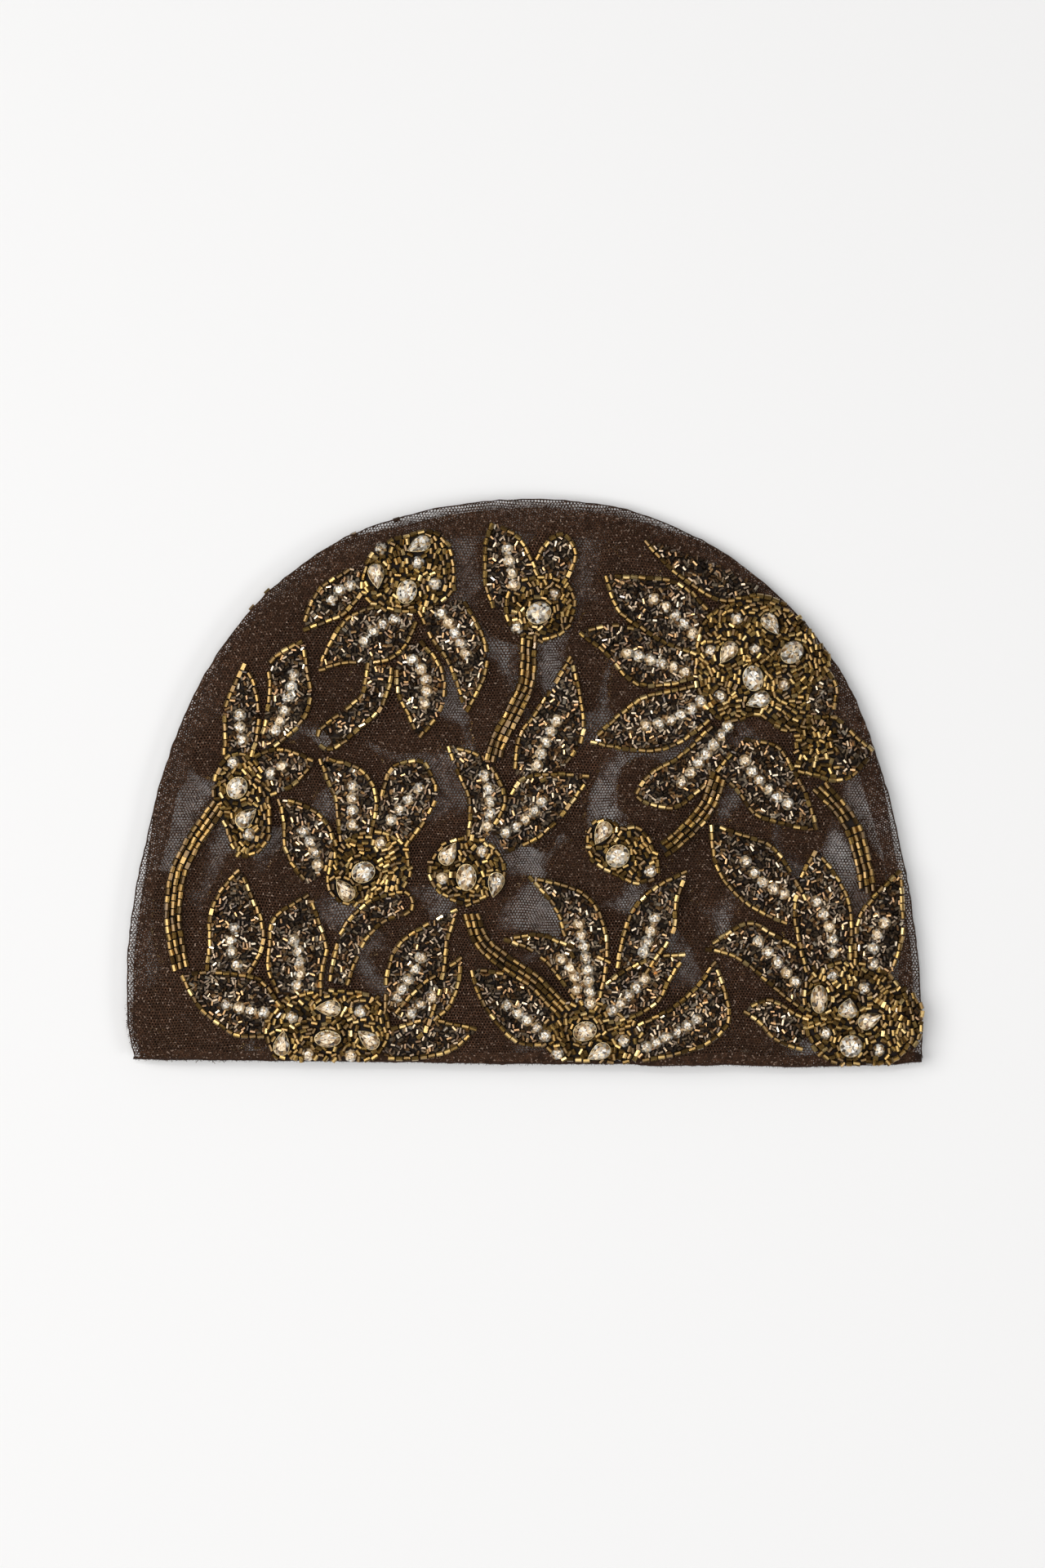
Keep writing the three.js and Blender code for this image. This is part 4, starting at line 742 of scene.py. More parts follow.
def tinted(name, metallic, roughness, bump, scale, **sockets):
    """A bead or stone finish: the mesh's tint colour (the beads' own tones; on the stones, painted facet reflections),
    a little uneven, with fine wear in roughness and bump.
    """
    m, tree, shader = material(name, (0.4, 0.3, 0.15), metallic, roughness, **sockets)
    tint = node(tree, 'ShaderNodeAttribute', attribute_name='tint')
    where = tree.nodes.new('ShaderNodeTexCoord').outputs['Object']
    noise = node(tree, 'ShaderNodeTexNoise')
    noise.inputs['Scale'].default_value = scale
    noise.inputs['Detail'].default_value = 3
    tree.links.new(where, noise.inputs['Vector'])
    uneven = calc(tree, 'MULTIPLY_ADD', noise.outputs['Fac'], 0.7, 0.65)
    mix = node(tree, 'ShaderNodeVectorMath', operation='SCALE')
    tree.links.new(tint.outputs['Color'], mix.inputs[0])
    tree.links.new(uneven, mix.inputs['Scale'])
    tree.links.new(mix.outputs[0], shader.inputs['Base Color'])
    tree.links.new(calc(tree, 'MULTIPLY_ADD', noise.outputs['Fac'], 0.16, roughness - 0.08), shader.inputs['Roughness'])
    if bump:
        b = node(tree, 'ShaderNodeBump')
        b.inputs['Strength'].default_value = bump
        b.inputs['Distance'].default_value = 0.0002
        tree.links.new(noise.outputs['Fac'], b.inputs['Height'])
        tree.links.new(b.outputs[0], shader.inputs['Normal'])
    return m


def net(name, turn, pitch, hole, colour, light, patchy=0.0, fading=False, frayed=0.18, waves=0.30, glints=0.68):
    """Hexagonal tulle: round-cornered holes on a slightly warped lattice, set by the cloth's own coordinates."""
    m, tree, shader = material(name, colour, 0.0, 0.62, sheen_weight=0.03, sheen_roughness=0.4)
    shader.inputs['Sheen Tint'].default_value = (0.9, 0.55, 0.35, 1)
    shader.inputs['Specular IOR Level'].default_value = 0.15
    shader.inputs['Specular Tint'].default_value = (1.0, 0.75, 0.55, 1)
    L = tree.links.new
    where = tree.nodes.new('ShaderNodeTexCoord').outputs['Object']
    warp = node(tree, 'ShaderNodeTexNoise')
    warp.inputs['Scale'].default_value = 55
    warp.inputs['Detail'].default_value = 1
    L(where, warp.inputs['Vector'])
    centred = node(tree, 'ShaderNodeVectorMath', operation='SUBTRACT')
    centred.inputs[1].default_value = (0.5, 0.5, 0.5)
    L(warp.outputs['Color'], centred.inputs[0])
    small = node(tree, 'ShaderNodeVectorMath', operation='SCALE')
    small.inputs['Scale'].default_value = 0.0034
    L(centred.outputs[0], small.inputs[0])
    moved = node(tree, 'ShaderNodeVectorMath', operation='ADD')
    L(where, moved.inputs[0])
    L(small.outputs[0], moved.inputs[1])
    turned_by = node(tree, 'ShaderNodeVectorRotate', rotation_type='Z_AXIS')
    turned_by.inputs['Angle'].default_value = turn
    L(moved.outputs[0], turned_by.inputs['Vector'])
    xyz = tree.nodes.new('ShaderNodeSeparateXYZ')
    L(turned_by.outputs[0], xyz.inputs[0])
    x, y = calc(tree, 'MULTIPLY', xyz.outputs[0], 1000 / pitch), calc(tree, 'MULTIPLY', xyz.outputs[1], 1000 / pitch)
    root3 = math.sqrt(3)

    def cell(dx, dy):
        u = calc(tree, 'SUBTRACT', calc(tree, 'FLOORED_MODULO', calc(tree, 'ADD', x, dx), 1.0), 0.5)
        v = calc(tree, 'SUBTRACT', calc(tree, 'FLOORED_MODULO', calc(tree, 'ADD', y, dy), root3), root3 / 2)
        u, v = calc(tree, 'ABSOLUTE', u), calc(tree, 'ABSOLUTE', v)
        hexed = calc(tree, 'MAXIMUM', u, calc(tree, 'ADD', calc(tree, 'MULTIPLY', u, 0.5), calc(tree, 'MULTIPLY', v, root3 / 2)))
        rounded = calc(tree, 'SQRT', calc(tree, 'ADD', calc(tree, 'MULTIPLY', u, u), calc(tree, 'MULTIPLY', v, v)))
        return calc(tree, 'ADD', calc(tree, 'MULTIPLY', hexed, 0.55), calc(tree, 'MULTIPLY', rounded, 0.45))

    reach = calc(tree, 'MINIMUM', cell(0.0, 0.0), cell(0.5, root3 / 2))
    frays = node(tree, 'ShaderNodeTexNoise')
    frays.inputs['Scale'].default_value = 700
    frays.inputs['Detail'].default_value = 2
    L(where, frays.inputs['Vector'])
    broad = node(tree, 'ShaderNodeTexNoise')
    broad.inputs['Scale'].default_value = 140
    broad.inputs['Detail'].default_value = 2
    L(where, broad.inputs['Vector'])
    wide = node(tree, 'ShaderNodeTexNoise')
    wide.inputs['Scale'].default_value = 28
    wide.inputs['Detail'].default_value = 2
    L(where, wide.inputs['Vector'])
    edge = calc(tree, 'ADD', hole, calc(tree, 'ADD', calc(tree, 'MULTIPLY_ADD', frays.outputs['Fac'], frayed, -frayed / 2),
                                        calc(tree, 'ADD', calc(tree, 'MULTIPLY_ADD', broad.outputs['Fac'], 0.10 + patchy, -0.05 - patchy / 2),
                                             calc(tree, 'MULTIPLY_ADD', wide.outputs['Fac'], waves, -waves / 2))))
    if fading:   # the hole grows where the mesh's tint says that the patch thins out
        tint = node(tree, 'ShaderNodeAttribute', attribute_name='tint')
        part = tree.nodes.new('ShaderNodeSeparateColor')
        L(tint.outputs['Color'], part.inputs[0])
        edge = calc(tree, 'ADD', edge, calc(tree, 'MULTIPLY', calc(tree, 'SUBTRACT', 1.0, part.outputs[2]), 0.42))
    solid = calc(tree, 'MINIMUM', calc(tree, 'MAXIMUM', calc(tree, 'MULTIPLY', calc(tree, 'SUBTRACT', reach, edge), 22.0), 0.0), 1.0)
    L(solid, shader.inputs['Alpha'])
    glow = node(tree, 'ShaderNodeMix', data_type='RGBA')
    glow.inputs[6].default_value, glow.inputs[7].default_value = (*colour, 1), (*light, 1)
    fibre = calc(tree, 'POWER', frays.outputs['Fac'], 3.0)
    L(calc(tree, 'MULTIPLY', fibre, 2.2), glow.inputs[0])
    glint = node(tree, 'ShaderNodeTexNoise')     # painted glints: specks of lighter base colour where fine noise peaks, for loops of yarn that catch the light
    glint.inputs['Scale'].default_value = 1300
    glint.inputs['Detail'].default_value = 0
    L(where, glint.inputs['Vector'])
    shine = node(tree, 'ShaderNodeMix', data_type='RGBA')
    shine.inputs[7].default_value = (0.27, 0.19, 0.145, 1)
    L(calc(tree, 'MINIMUM', calc(tree, 'MAXIMUM', calc(tree, 'MULTIPLY', calc(tree, 'SUBTRACT', glint.outputs['Fac'], glints), 12.0), 0.0), 1.0), shine.inputs[0])
    L(glow.outputs[2], shine.inputs[6])
    L(shine.outputs[2], shader.inputs['Base Color'])
    b = node(tree, 'ShaderNodeBump')
    b.inputs['Strength'].default_value = 0.6
    b.inputs['Distance'].default_value = 0.0002
    L(reach, b.inputs['Height'])
    L(b.outputs[0], shader.inputs['Normal'])
    return m


gold = tinted('bead_gold', 0.92, 0.25, 0.25, 900, coat_weight=0.6, coat_roughness=0.10)
pewter = tinted('bead_pewter', 0.9, 0.22, 0.2, 1100, coat_weight=0.6, coat_roughness=0.08)
crystal = tinted('cut_crystal', 0.15, 0.08, 0.0, 500, coat_weight=0.9, coat_roughness=0.03)
tulle_front = net('tulle_front', 0.0, 1.0, 0.335, (0.014, 0.0060, 0.0034), (0.112, 0.052, 0.029), frayed=0.26, waves=0.22, glints=0.69)
tulle_back = net('tulle_back', 0.07, 1.0, 0.39, (0.014, 0.0060, 0.0034), (0.095, 0.046, 0.027), frayed=0.18, waves=0.16)
tulle_fold = net('tulle_allowance', -0.35, 0.86, 0.17, (0.011, 0.0048, 0.0028), (0.075, 0.036, 0.021), 0.20, frayed=0.46, waves=0.04, glints=0.67)
thread_mat = net('thread_backing', 0.6, 0.7, 0.12, (0.009, 0.0040, 0.0023), (0.076, 0.036, 0.021), 0.50, fading=True, frayed=0.60, waves=0.10, glints=0.67)


def yarn(name, colour, light):
    m, tree, shader = material(name, colour, 0.0, 0.6, sheen_weight=0.04, sheen_roughness=0.4)
    shader.inputs['Specular IOR Level'].default_value = 0.15
    noise = node(tree, 'ShaderNodeTexNoise')
    noise.inputs['Scale'].default_value = 1500
    tree.links.new(tree.nodes.new('ShaderNodeTexCoord').outputs['Object'], noise.inputs['Vector'])
    mix = node(tree, 'ShaderNodeMix', data_type='RGBA')
    mix.inputs[6].default_value, mix.inputs[7].default_value = (*colour, 1), (*light, 1)
    tree.links.new(calc(tree, 'POWER', noise.outputs['Fac'], 2.0), mix.inputs[0])
    tree.links.new(mix.outputs[2], shader.inputs['Base Color'])
    b = node(tree, 'ShaderNodeBump')
    b.inputs['Strength'].default_value = 0.5
    b.inputs['Distance'].default_value = 0.0002
    tree.links.new(noise.outputs['Fac'], b.inputs['Height'])
    tree.links.new(b.outputs[0], shader.inputs['Normal'])
    return m


yarn_mat = yarn('sewing_thread', (0.014, 0.0062, 0.0035), (0.085, 0.040, 0.022))
# Near-black finish for the sheets under the front beads: the thread under them, and painted shade in the gaps between
# the beads.
dense_mat = yarn('thread_and_shade_under_beads', (0.005, 0.0028, 0.0018), (0.035, 0.019, 0.012))
MATS = [gold, pewter, crystal, thread_mat, yarn_mat, dense_mat]
M_GOLD, M_PEWTER, M_STONE, M_BACKING, M_YARN, M_DENSE = range(6)
DARK = (0.02, 0.013, 0.010)


def lay_patch(pile, p, z_of, lift, side, cover, past=0.992, closed=False):
    """Puts a (rows, columns) grid of plan points on the cloth; cover is 1 where the thread is dense and 0 where it ends."""
    x, y = p[..., 0] * side, p[..., 1]
    deg, share = share_at(x, y)
    keep = np.minimum(1, past / np.maximum(share, 1e-6))
    y = MOUTH_Y + (y - MOUTH_Y) * keep
    x = x * keep
    y = np.maximum(y, MOUTH_Y + hem_rise(x) + 0.2)
    pts = np.stack([x, y, z_of(x, y) + lift], -1)
    r, c = p.shape[:2]
    cols = c if closed else c - 1
    shade = np.broadcast_to(cover, (r - 1, cols)) if np.ndim(cover) == 1 else cover
    if side < 0:
        pts = pts[:, ::-1]
        shade = shade[:, ::-1]
    colour = np.stack([np.full(shade.size, 0.02), np.full(shade.size, 0.012), shade.ravel()], 1)
    pile.grid(pts, colour, M_DENSE if side > 0 else M_BACKING, closed=closed)


def strip(pile, left, right, z_of, lift, side, by):
    """A patch between two plan lines, drawn in by so many mm (or out, where it is below 0)."""
    d = right - left
    w = np.linalg.norm(d, axis=1, keepdims=True)
    step = d / np.maximum(w, 1e-6) * (np.minimum(by, w * 0.45) if by > 0 else by)
    a, b = left + step, right - step
    if by > 0:
        t, cover = np.linspace(0, 1, 7), np.ones(6)
    else:
        e = -by / (np.maximum(w.mean(), 2) - 2 * by)
        half = np.concatenate([e * np.linspace(0, 1, 7), [0.5]])
        t = np.concatenate([half, 1 - half[-2::-1]])
        cover = np.array([0.08, 0.18, 0.30, 0.44, 0.60, 0.78, 0.97])
        cover = np.concatenate([cover, cover[::-1]])
    t = t[None, :, None]
    lay_patch(pile, a[:, None, :] * (1 - t) + b[:, None, :] * t, z_of, lift, side, cover)


def backing_and_shade_patches(motif, pile, z_of, lift, side):
    # On the front: a near-black sheet 0.3 mm inside each outline, the thread under the beads and painted shade between
    # them. On the back: the thread backing, spread past the outlines and fading out.
    by = 0.3 if side > 0 else -4.2
    for l in leaf_rows:
        if l['motif'] == motif:
            left, right = leaf_edges(l, 28)
            lift += 0.012     # neighbours that overlap aren't in one plane
            strip(pile, left, right, z_of, lift, side, by)
    for b in band_rows:
        if b['motif'] == motif:
            mid, n, w = band_lines(b, 28)
            half = (2.1 if b['name'].startswith('S') else w[:, None] - 0.3)
            strip(pile, mid + n * half, mid - n * half, z_of, lift, side, min(by, 0.05) if side < 0 else 0.05)
    for m, outline in centres:
        if m == motif:
            mid = outline.mean(0)
            wraps = m == 'RG' and outline[:, 0].max() > 128
            rings = np.array([0.02, 0.4, 0.7, 0.96] if side > 0 else [0.02, 0.5, 0.95, 1.05, 1.14, 1.22, 1.32])
            cover = np.ones(3) if side > 0 else np.array([1, 1, 0.75, 0.55, 0.34, 0.15])
            p = mid + (outline[None] - mid) * rings[:, None, None]
            lay_patch(pile, p, z_of, lift, side, np.repeat(cover[:, None], len(outline), 1), 1.03 if wraps else 0.992, closed=True)


def specks(motif, pile):
    """Short glossy stitches that hold the back beads, on the inner side of the back panel."""
    r = np.random.default_rng(40 + ORDER[motif])
    xs, ys = [], []
    outlines = [o for n, m, o in regions if m == motif] + [o for m, o in centres if m == motif]
    for o in outlines:
        low, high = o.min(0), o.max(0)
        n = int((high - low).prod() * 0.55)
        x, y = r.uniform(low[0], high[0], n), r.uniform(low[1], high[1], n)
        ok = inside(o, x, y) & on_cap(x, y)
        xs.append(x[ok])
        ys.append(y[ok])
    x, y = np.concatenate(xs), np.concatenate(ys)
    n = len(x)
    turn, length = r.uniform(0, math.pi, n), r.uniform(0.5, 1.5, n)
    tone = r.uniform(0, 1, n) ** 2
    x, turn = -x, math.pi - turn
    a, out, along, across = frames_on(1, x, y, turn)
    at = np.stack([x, y, back_z(x, y) + 0.22], 1)
    corners = ((0.0, 1.0), (-0.87, -0.5), (0.87, -0.5))
    tilt = r.normal(0, 0.3, n)[:, None]
    along = along + out * tilt
    v = np.stack([at + along * (e * length / 2)[:, None] + (across * cx + out * cz) * 0.11 for e in (-1, 1) for cx, cz in corners], 1)
    loops = np.array([0, 1, 4, 3, 1, 2, 5, 4, 2, 0, 3, 5])
    c = ramp(tone, [(0, (0.05, 0.03, 0.02)), (0.5, (0.22, 0.15, 0.09)), (1, (0.8, 0.66, 0.5))])
    pile.add(v.reshape(-1, 3), (loops[None] + (np.arange(n) * 6)[:, None]).ravel(), np.full(3 * n, 4), np.repeat(c, 3, axis=0), M_PEWTER)


def tube(pile, points, radii, mat, colour=DARK, sides=6, cap=True):
    """A tube along 3-D points."""
    p = np.asarray(points, float)
    d = np.gradient(p, axis=0)
    d /= np.maximum(np.linalg.norm(d, axis=1, keepdims=True), 1e-9)
    up = np.array([0, 0, 1.0])
    s = np.cross(d, up)
    s /= np.maximum(np.linalg.norm(s, axis=1, keepdims=True), 1e-6)
    u = np.cross(s, d)
    a = np.arange(sides) * 2 * math.pi / sides
    r = np.broadcast_to(np.asarray(radii, float), (len(p),))[:, None, None]
    ring = p[:, None, :] + r * (np.cos(a)[None, :, None] * s[:, None, :] + np.sin(a)[None, :, None] * u[:, None, :])
    pile.grid(ring[::-1], colour, mat, closed=True)


# the two layers of tulle
def cloth(name, z_of, mat, edge):
    spokes, rings = 200, 84
    deg = np.linspace(0, 180, spokes + 1)
    share = np.sin(np.linspace(0.02, 1, rings) * math.pi / 2) ** 0.9
    share[0] = 0.012
    rows = [(s, None) for s in share] + edge
    pts = []
    for s, z in rows:
        x, y = rim_point(deg, s)
        pts.append(np.stack([x, y, z_of(x, y) if z is None else np.full_like(x, z)], -1))
    pts = np.array(pts)
    pile = Pile()
    pile.grid(pts[:, ::-1], DARK, 0)
    x, y = rim_point(deg, share[0])
    pile.add(np.concatenate([pts[0], [[0, MOUTH_Y + hem_rise(0.0), z_of(np.array([0.0]), np.array([MOUTH_Y + 0.3]))[0]]]]),
             np.stack([np.full(spokes, spokes + 1), np.arange(spokes), np.arange(1, spokes + 1)], 1).ravel(), np.full(spokes, 3), DARK, 0)
    return pile.build(name, [mat], smooth_mats=(0,))


front = cloth('tulle_front_panel', front_z, tulle_front, [(1.0035, 6.25), (1.005, 5.75), (1.0045, 5.2), (1.001, 4.75)])
back = cloth('tulle_back_panel', back_z, tulle_back, [])

# seam allowance between the layers, with a ragged inner edge
deg = np.linspace(0.5, 179.5, 520)
ragged = 6.4 + 1.0 * np.interp(deg, np.linspace(0, 180, 60), rng.uniform(-1, 1, 60)) + 0.35 * rng.uniform(-1, 1, len(deg))
ragged = ragged + 3.8 * step01((deg - 35) / 30) * step01((150 - deg) / 30)
rows = []
for t in np.linspace(0, 1, 6):
    first = np.interp(deg, [0, 30, 42, 70, 80, 103, 110, 145, 155, 180], [1.6, 1.6, -0.7, -0.7, 2.0, 2.0, -0.7, -0.7, 1.5, 1.5])
    depth = first + (ragged - first) * t
    x, y = rim_point(deg, 1 - depth / reach_at(deg))
    rows.append(np.stack([x, y, front_z(x, y) - 0.35 - 0.25 * t], -1))
pile = Pile()
pile.grid(np.array(rows)[::-1], DARK, 0)
allowance = pile.build('seam_allowance', [tulle_fold], smooth_mats=(0,))

# the sewn edge: a running line of stitches just inside it, and the drawn edge itself
pile = Pile()
deg = np.linspace(0.2, 179.8, 900)
x, y = rim_point(deg, 1.0045 + 0.0012 * np.interp(deg, np.linspace(0, 180, 220), rng.uniform(-1, 1, 220)))
tube(pile, np.stack([x, y, np.full_like(x, 5.75)], -1), 0.17 + 0.10 * np.interp(deg, np.linspace(0, 180, 300), rng.uniform(0, 1, 300)), 0)
length = 2.2
step = 3.1
for k in range(int(math.pi * 150 / step)):
    a = 1.0 + k * step * 178 / (math.pi * 150)
    b = a + length * 178 / (math.pi * 150)
    d = np.linspace(a, b, 5)
    x, y = rim_point(d, 1 - 1.65 / reach_at(d))
    tube(pile, np.stack([x, y, front_z(x, y) + 0.10 * np.sin(np.linspace(0, math.pi, 5)) + 0.02], -1), 0.13, 0, sides=4)
rim = pile.build('seam_stitches', [yarn_mat], smooth_mats=(0,))


def hem(name, z_of, seed, drop):
    r = np.random.default_rng(seed)
    x = np.linspace(-129.2, 129.2, 700)
    y = MOUTH_Y + hem_rise(x)
    roll = np.interp(x, np.linspace(-130, 130, 46), r.uniform(0, 1, 46)) ** 2
    jag = np.interp(x, np.linspace(-130, 130, 300), r.uniform(-1, 1, 300))
    pile = Pile()
    tube(pile, np.stack([x, y + 0.12 * jag, z_of(x, y) - drop], -1), 0.16 + 0.30 * roll + 0.06 * np.abs(jag), 0)
    n = 1500
    fx = r.uniform(-129, 129, n)
    fy = MOUTH_Y + hem_rise(fx) + r.uniform(-0.2, 0.3, n)
    fz = z_of(fx, fy) - drop
    for k in range(n):
        a = -math.pi / 2 + r.normal(0, 0.7)
        reach = r.uniform(0.25, 0.8)
        bend = r.normal(0, 0.3)
        p0 = np.array([fx[k], fy[k], fz[k]])
        p1 = p0 + np.array([math.cos(a), math.sin(a), r.normal(0, 0.15)]) * reach * 0.5
        p2 = p1 + np.array([math.cos(a + bend), math.sin(a + bend), r.normal(0, 0.2)]) * reach * 0.5
        tube(pile, [p0, p1, p2], [0.07, 0.055, 0.03], 0, sides=3)
    if z_of is front_z:
        for k in range(170):
            a = r.uniform(0, 2 * math.pi)
            p0 = np.array([127.9 + r.normal(0, 0.5), -89.2 + r.normal(0, 0.5), 7.3 + r.normal(0, 0.5)])
            p1 = p0 + np.array([math.cos(a), math.sin(a), r.normal(0, 0.7)]) * r.uniform(0.3, 0.8)
            p2 = p1 + np.array([math.cos(a + 1), math.sin(a + 1), -0.2]) * r.uniform(0.3, 0.7)
            tube(pile, [p0, p1, p2], [0.13, 0.11, 0.05], 0, sides=3)
    # the turned-up edge: a dense strip behind the cloth
    x = np.linspace(-127.0, 127.0, 300)
    high = 3.2 + 0.7 * np.interp(x, np.linspace(-130, 130, 50), r.uniform(-1, 1, 50)) + 0.25 * r.uniform(-1, 1, len(x))
    turned_up = []
    for t in np.linspace(0, 1, 4):
        y = MOUTH_Y + hem_rise(x) + high * t
        d, share = share_at(x, y)
        xx = x * np.minimum(1, 0.992 / np.maximum(share, 1e-6))
        turned_up.append(np.stack([xx, y, z_of(xx, y) + (-0.3 if z_of is front_z else 0.3)], -1))
    pile.grid(np.array(turned_up), DARK, 1)
    return pile.build(name, [yarn_mat, tulle_fold], smooth_mats=(0, 1))


front_hem, back_hem = hem('front_hem_edge', front_z, 3, 0.05), hem('back_hem_edge', back_z, 4, -0.05)

# the bead work, one mesh a motif and side
tone_rng = np.random.default_rng(8)
front_motifs, back_motifs = [], []
disc_tone = [('white', 'white', 'white', 'peach', 'peach', 'grey', 'grey')[k] for k in tone_rng.integers(0, 7, len(discs))]
for side, made in ((1, front_motifs), (-1, back_motifs)):
    for motif, plain in NAMES.items():
        code = ORDER[motif]
        pile = Pile()
        mine = beads[beads[:, 0] == code]
        if side < 0:   # none hangs past the hem on the other side
            mine = mine[mine[:, 3] > MOUTH_Y + hem_rise(-mine[:, 2]) + 1.3]
        big, small = mine[mine[:, 1] == 0], mine[mine[:, 1] == 1]
        if len(big):
            stand(big, side, GOLD_FULL if side > 0 else GOLD_PLAIN, pile, M_GOLD, gold_colour)
        if len(small):
            stand(small, side, FILL_PLAIN, pile, M_PEWTER, pewter_colour)
        mine = thread[thread[:, 0] == code] if len(thread) else thread
        if len(mine):
            threads(pile, side, mine, M_YARN)
        z_of = front_z if side > 0 else back_z
        if side > 0:
            backing_and_shade_patches(motif, pile, front_z, 0.06, 1)
        else:
            backing_and_shade_patches(motif, pile, back_z, 0.10, -1)
        if side < 0:
            specks(motif, pile)
        if side < 0 and motif == 'TR':   # a few of its beads show past the seam
            past_seam = []
            for k, (angle, past, tone) in enumerate(((119.0, 1.0072, 0.85), (121.3, 1.0058, 0.35), (108.3, 1.0040, 0.10), (103.6, 1.0040, 0.05))):
                (xa, xb), (ya, yb) = rim_point(np.array([angle - 0.4, angle + 0.4]), past)
                past_seam.append((code, 0, -(xa + xb) / 2, (ya + yb) / 2, math.pi - math.atan2(yb - ya, xb - xa), 2.3, 0.82, 0, 0, 0.3 * k, tone))
            stand(np.array(past_seam, float), side, GOLD_PLAIN, pile, M_GOLD, gold_colour)
        for (m, x, y, _), tone in zip(discs, disc_tone):
            if m != motif:
                continue
            r = np.random.default_rng(int((x + 200) * 1000 + (y + 200) * 7))
            turn = r.uniform(0, math.pi)
            px, pt = mirrored(side, np.array([x]), np.array([turn]))
            at, out, along, across = frames_on(side, px, np.array([y]), pt)
            foot = 0.25 if side > 0 else 0.2
            set_stone(pile, M_STONE, ROUND_CUT if side > 0 else ROUND_BACK, at[0] + out[0] * foot, out[0], along[0], across[0],
                      (ROUND_D / 2 * 1.03, ROUND_D / 2 * 1.03), 2.35 if side > 0 else 2.75, tone, r)
        if side > 0 and motif == 'TR':   # loose thread ends by the upper leaf
            for (cx, cy, cr, a0, a1) in ((39.6, 79.4, 1.5, 0.2, 4.4), (42.2, 78.4, 1.2, 2.0, 6.0), (37.6, 80.6, 0.9, 3.3, 6.6)):
                a = np.linspace(a0, a1, 14)
                x, y = cx + cr * np.cos(a), cy + cr * np.sin(a)
                tube(pile, np.stack([x, y, front_z(x, y) + 0.25 + 0.2 * np.sin(a)], -1), 0.09, M_YARN, sides=4)
        made.append(pile.build(('front_' if side > 0 else 'back_') + plain + '_beads', MATS, smooth_mats=(M_BACKING, M_YARN)))

# the large stones
stone_pieces = []
big_tones = ('white', 'peach', 'peach', 'white', 'grey', 'white', 'peach')
for i, s in enumerate(stone_rows):
    r = np.random.default_rng(100 + i)
    turn = math.radians(s['turn'])
    at, out, along, across = frames_on(1, np.array([s['x']]), np.array([s['y']]), np.array([turn]), e=3.0)
    low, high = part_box('stone_%02d_%s' % (i + 1, s['cut']))
    foot = (low[2] + high[2]) / 2 * 1000 - 0.95
    base = np.array([s['x'], s['y'], foot])
    pile = Pile()
    size = (s['length'] / 2 * (1.05 if s['cut'] == 'pear' else 1.0), s['width'] / 2 * 1.02)
    shape = OVAL_CUT
    set_stone(pile, M_STONE, shape, base + out[0] * 0.05, out[0], along[0], across[0], size, STONE_H - 0.05, big_tones[int(r.integers(0, 7))], r,
              outline=pear if s['cut'] == 'pear' else None)
    # its metal cup
    a = np.arange(24) * 2 * math.pi / 24
    k = pear(np.cos(a)) if s['cut'] == 'pear' else 1.0
    rings = []
    for grow, z in ((0.62, -0.9), (0.86, -0.3), (1.04, 0.25), (1.05, 0.72), (1.0, 0.74), (0.97, 0.45)):
        rings.append(base + np.outer(np.cos(a) * size[0] * grow, along[0]) + np.outer(np.sin(a) * size[1] * grow * k, across[0]) + out[0] * z)
    pile.grid(np.array(rings), (0.30, 0.22, 0.10), M_GOLD, closed=True)
    stone_pieces.append((pile.build('stone_%02d' % (i + 1), MATS), 'stone_%02d_%s' % (i + 1, s['cut'])))

# ---- what stands for what -----------------------------------------------
for ob, nodes, slot in ([(front, ['front_panel'], 'tulle'), (back, ['back_panel'], 'tulle'), (allowance, [], 'tulle'), (rim, [], 'tulle'),
                         (front_hem, [], 'tulle'), (back_hem, [], 'tulle')]
                        + [(ob, ['front_' + n], 'beads') for ob, n in zip(front_motifs, NAMES.values())]
                        + [(ob, ['back_' + n], 'beads') for ob, n in zip(back_motifs, NAMES.values())]
                        + [(ob, [n], 'stones') for ob, n in stone_pieces]):
    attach(ob, 'root')
    if nodes:
        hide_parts(*nodes)

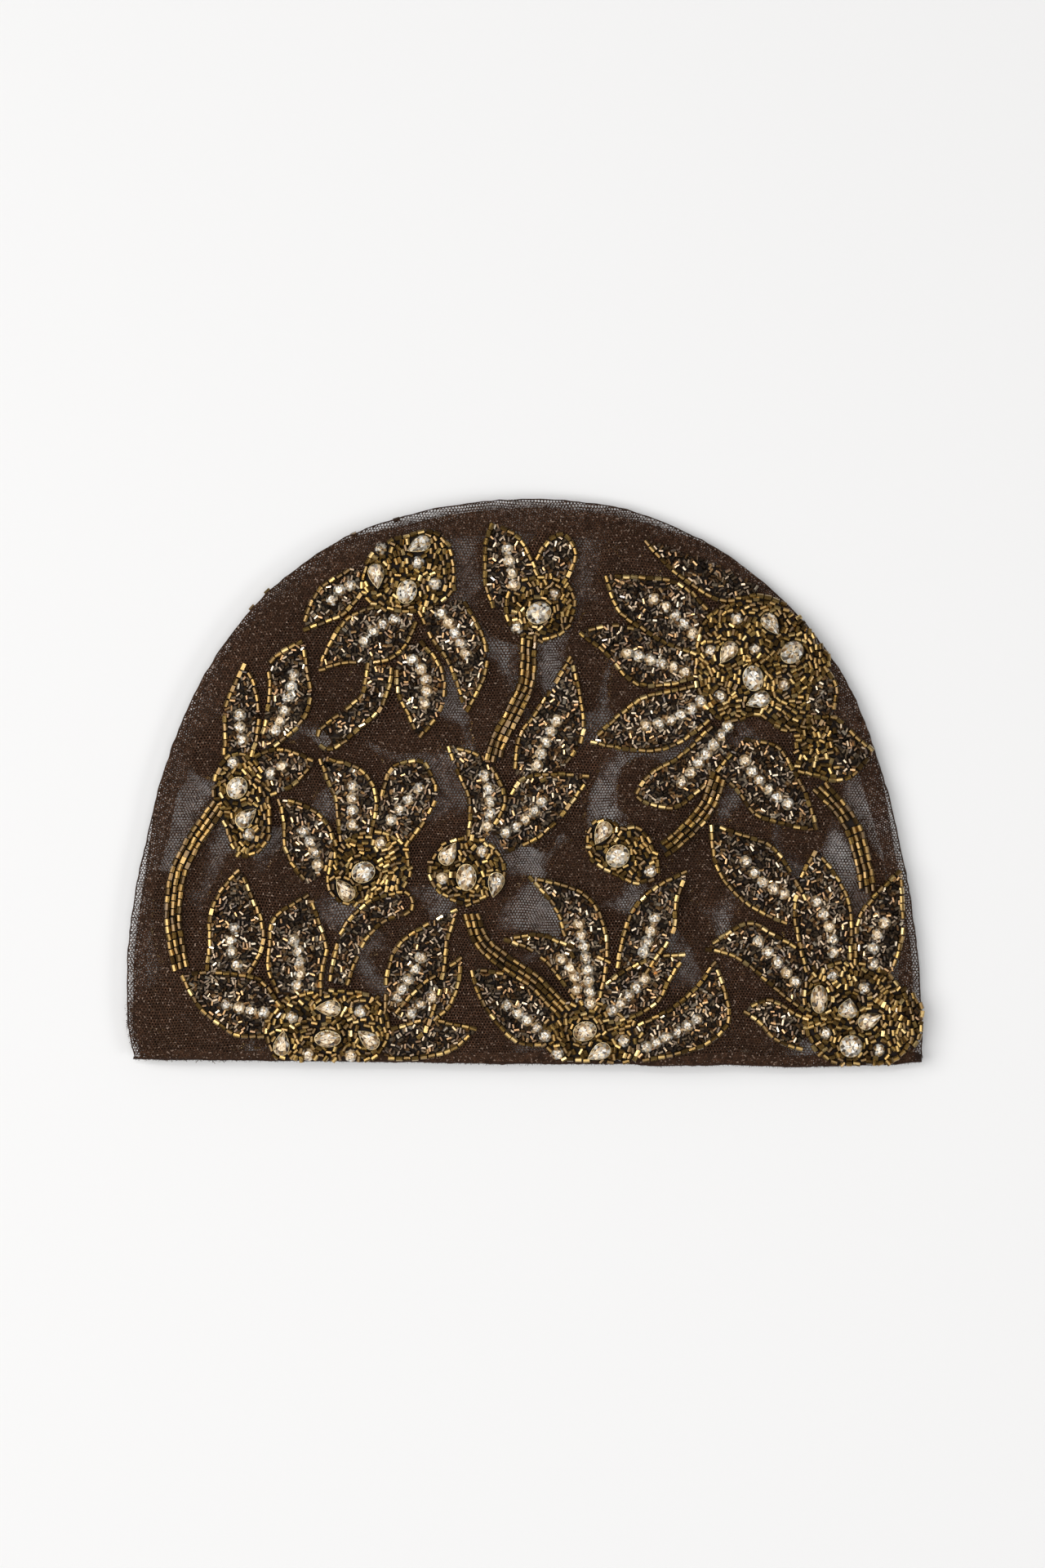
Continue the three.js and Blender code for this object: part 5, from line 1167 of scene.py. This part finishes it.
floor = bpy.data.meshes.new('floor')
floor.from_pydata([(-3, -3, 0), (3, -3, 0), (3, 3, 0), (-3, 3, 0)], [], [(0, 1, 2, 3)])
floor = bpy.data.objects.new('floor', floor)
bpy.context.scene.collection.objects.link(floor)
paper, _, shader = material('paper', (0.92, 0.92, 0.92), 0.0, 0.9)
shader.inputs['Specular IOR Level'].default_value = 0.1
floor.data.materials.append(paper)

# the cut of one panel: the half-moon inside the rim and above the hem
d = np.linspace(0, 180, 721)
x, y = rim_point(d, 1.0)
line_x = np.linspace(-127.6, 128.2, 400)
x, y = np.concatenate([x, line_x]), np.concatenate([y, MOUTH_Y + hem_rise(line_x)])

# ---- camera, light ------------------------------------------------------
HEIGHT = 1.7
cam = bpy.data.objects.new('camera', bpy.data.cameras.new('camera'))
cam.data.sensor_width = 36
cam.data.lens = 36 * (HEIGHT - 0.010) / 0.5126
cam.data.clip_start, cam.data.clip_end = 0.01, 20
cam.location = (-0.0011, -0.0002, HEIGHT)
bpy.context.scene.collection.objects.link(cam)
bpy.context.scene.camera = cam


def lamp(name, at, size, power, colour=(1, 1, 1), aim=(0, 0, 0)):
    data = bpy.data.lights.new(name, 'AREA')
    data.shape = 'DISK'
    data.size, data.energy, data.color = size, power, colour
    ob = bpy.data.objects.new(name, data)
    ob.location = at
    d = np.array(aim, float) - np.array(at, float)
    from mathutils import Vector
    ob.rotation_euler = Vector(d).to_track_quat('-Z', 'Y').to_euler()
    bpy.context.scene.collection.objects.link(ob)


lamp('key', (-1.5, 0.15, 2.0), 2.0, 34.5, (1.0, 0.99, 0.98))
lamp('overhead', (-0.05, -0.25, 2.3), 2.1, 20)
lamp('fill', (1.4, -0.7, 1.4), 0.8, 7)
lamp('spark', (-0.35, 0.45, 2.2), 0.12, 3)
world = bpy.data.worlds.new('world')
bpy.context.scene.world = world
world.use_nodes = True
world.node_tree.nodes['Background'].inputs[0].default_value = (1.0, 0.99, 0.98, 1)
world.node_tree.nodes['Background'].inputs[1].default_value = 0.16
bpy.context.scene.view_settings.view_transform = 'Standard'
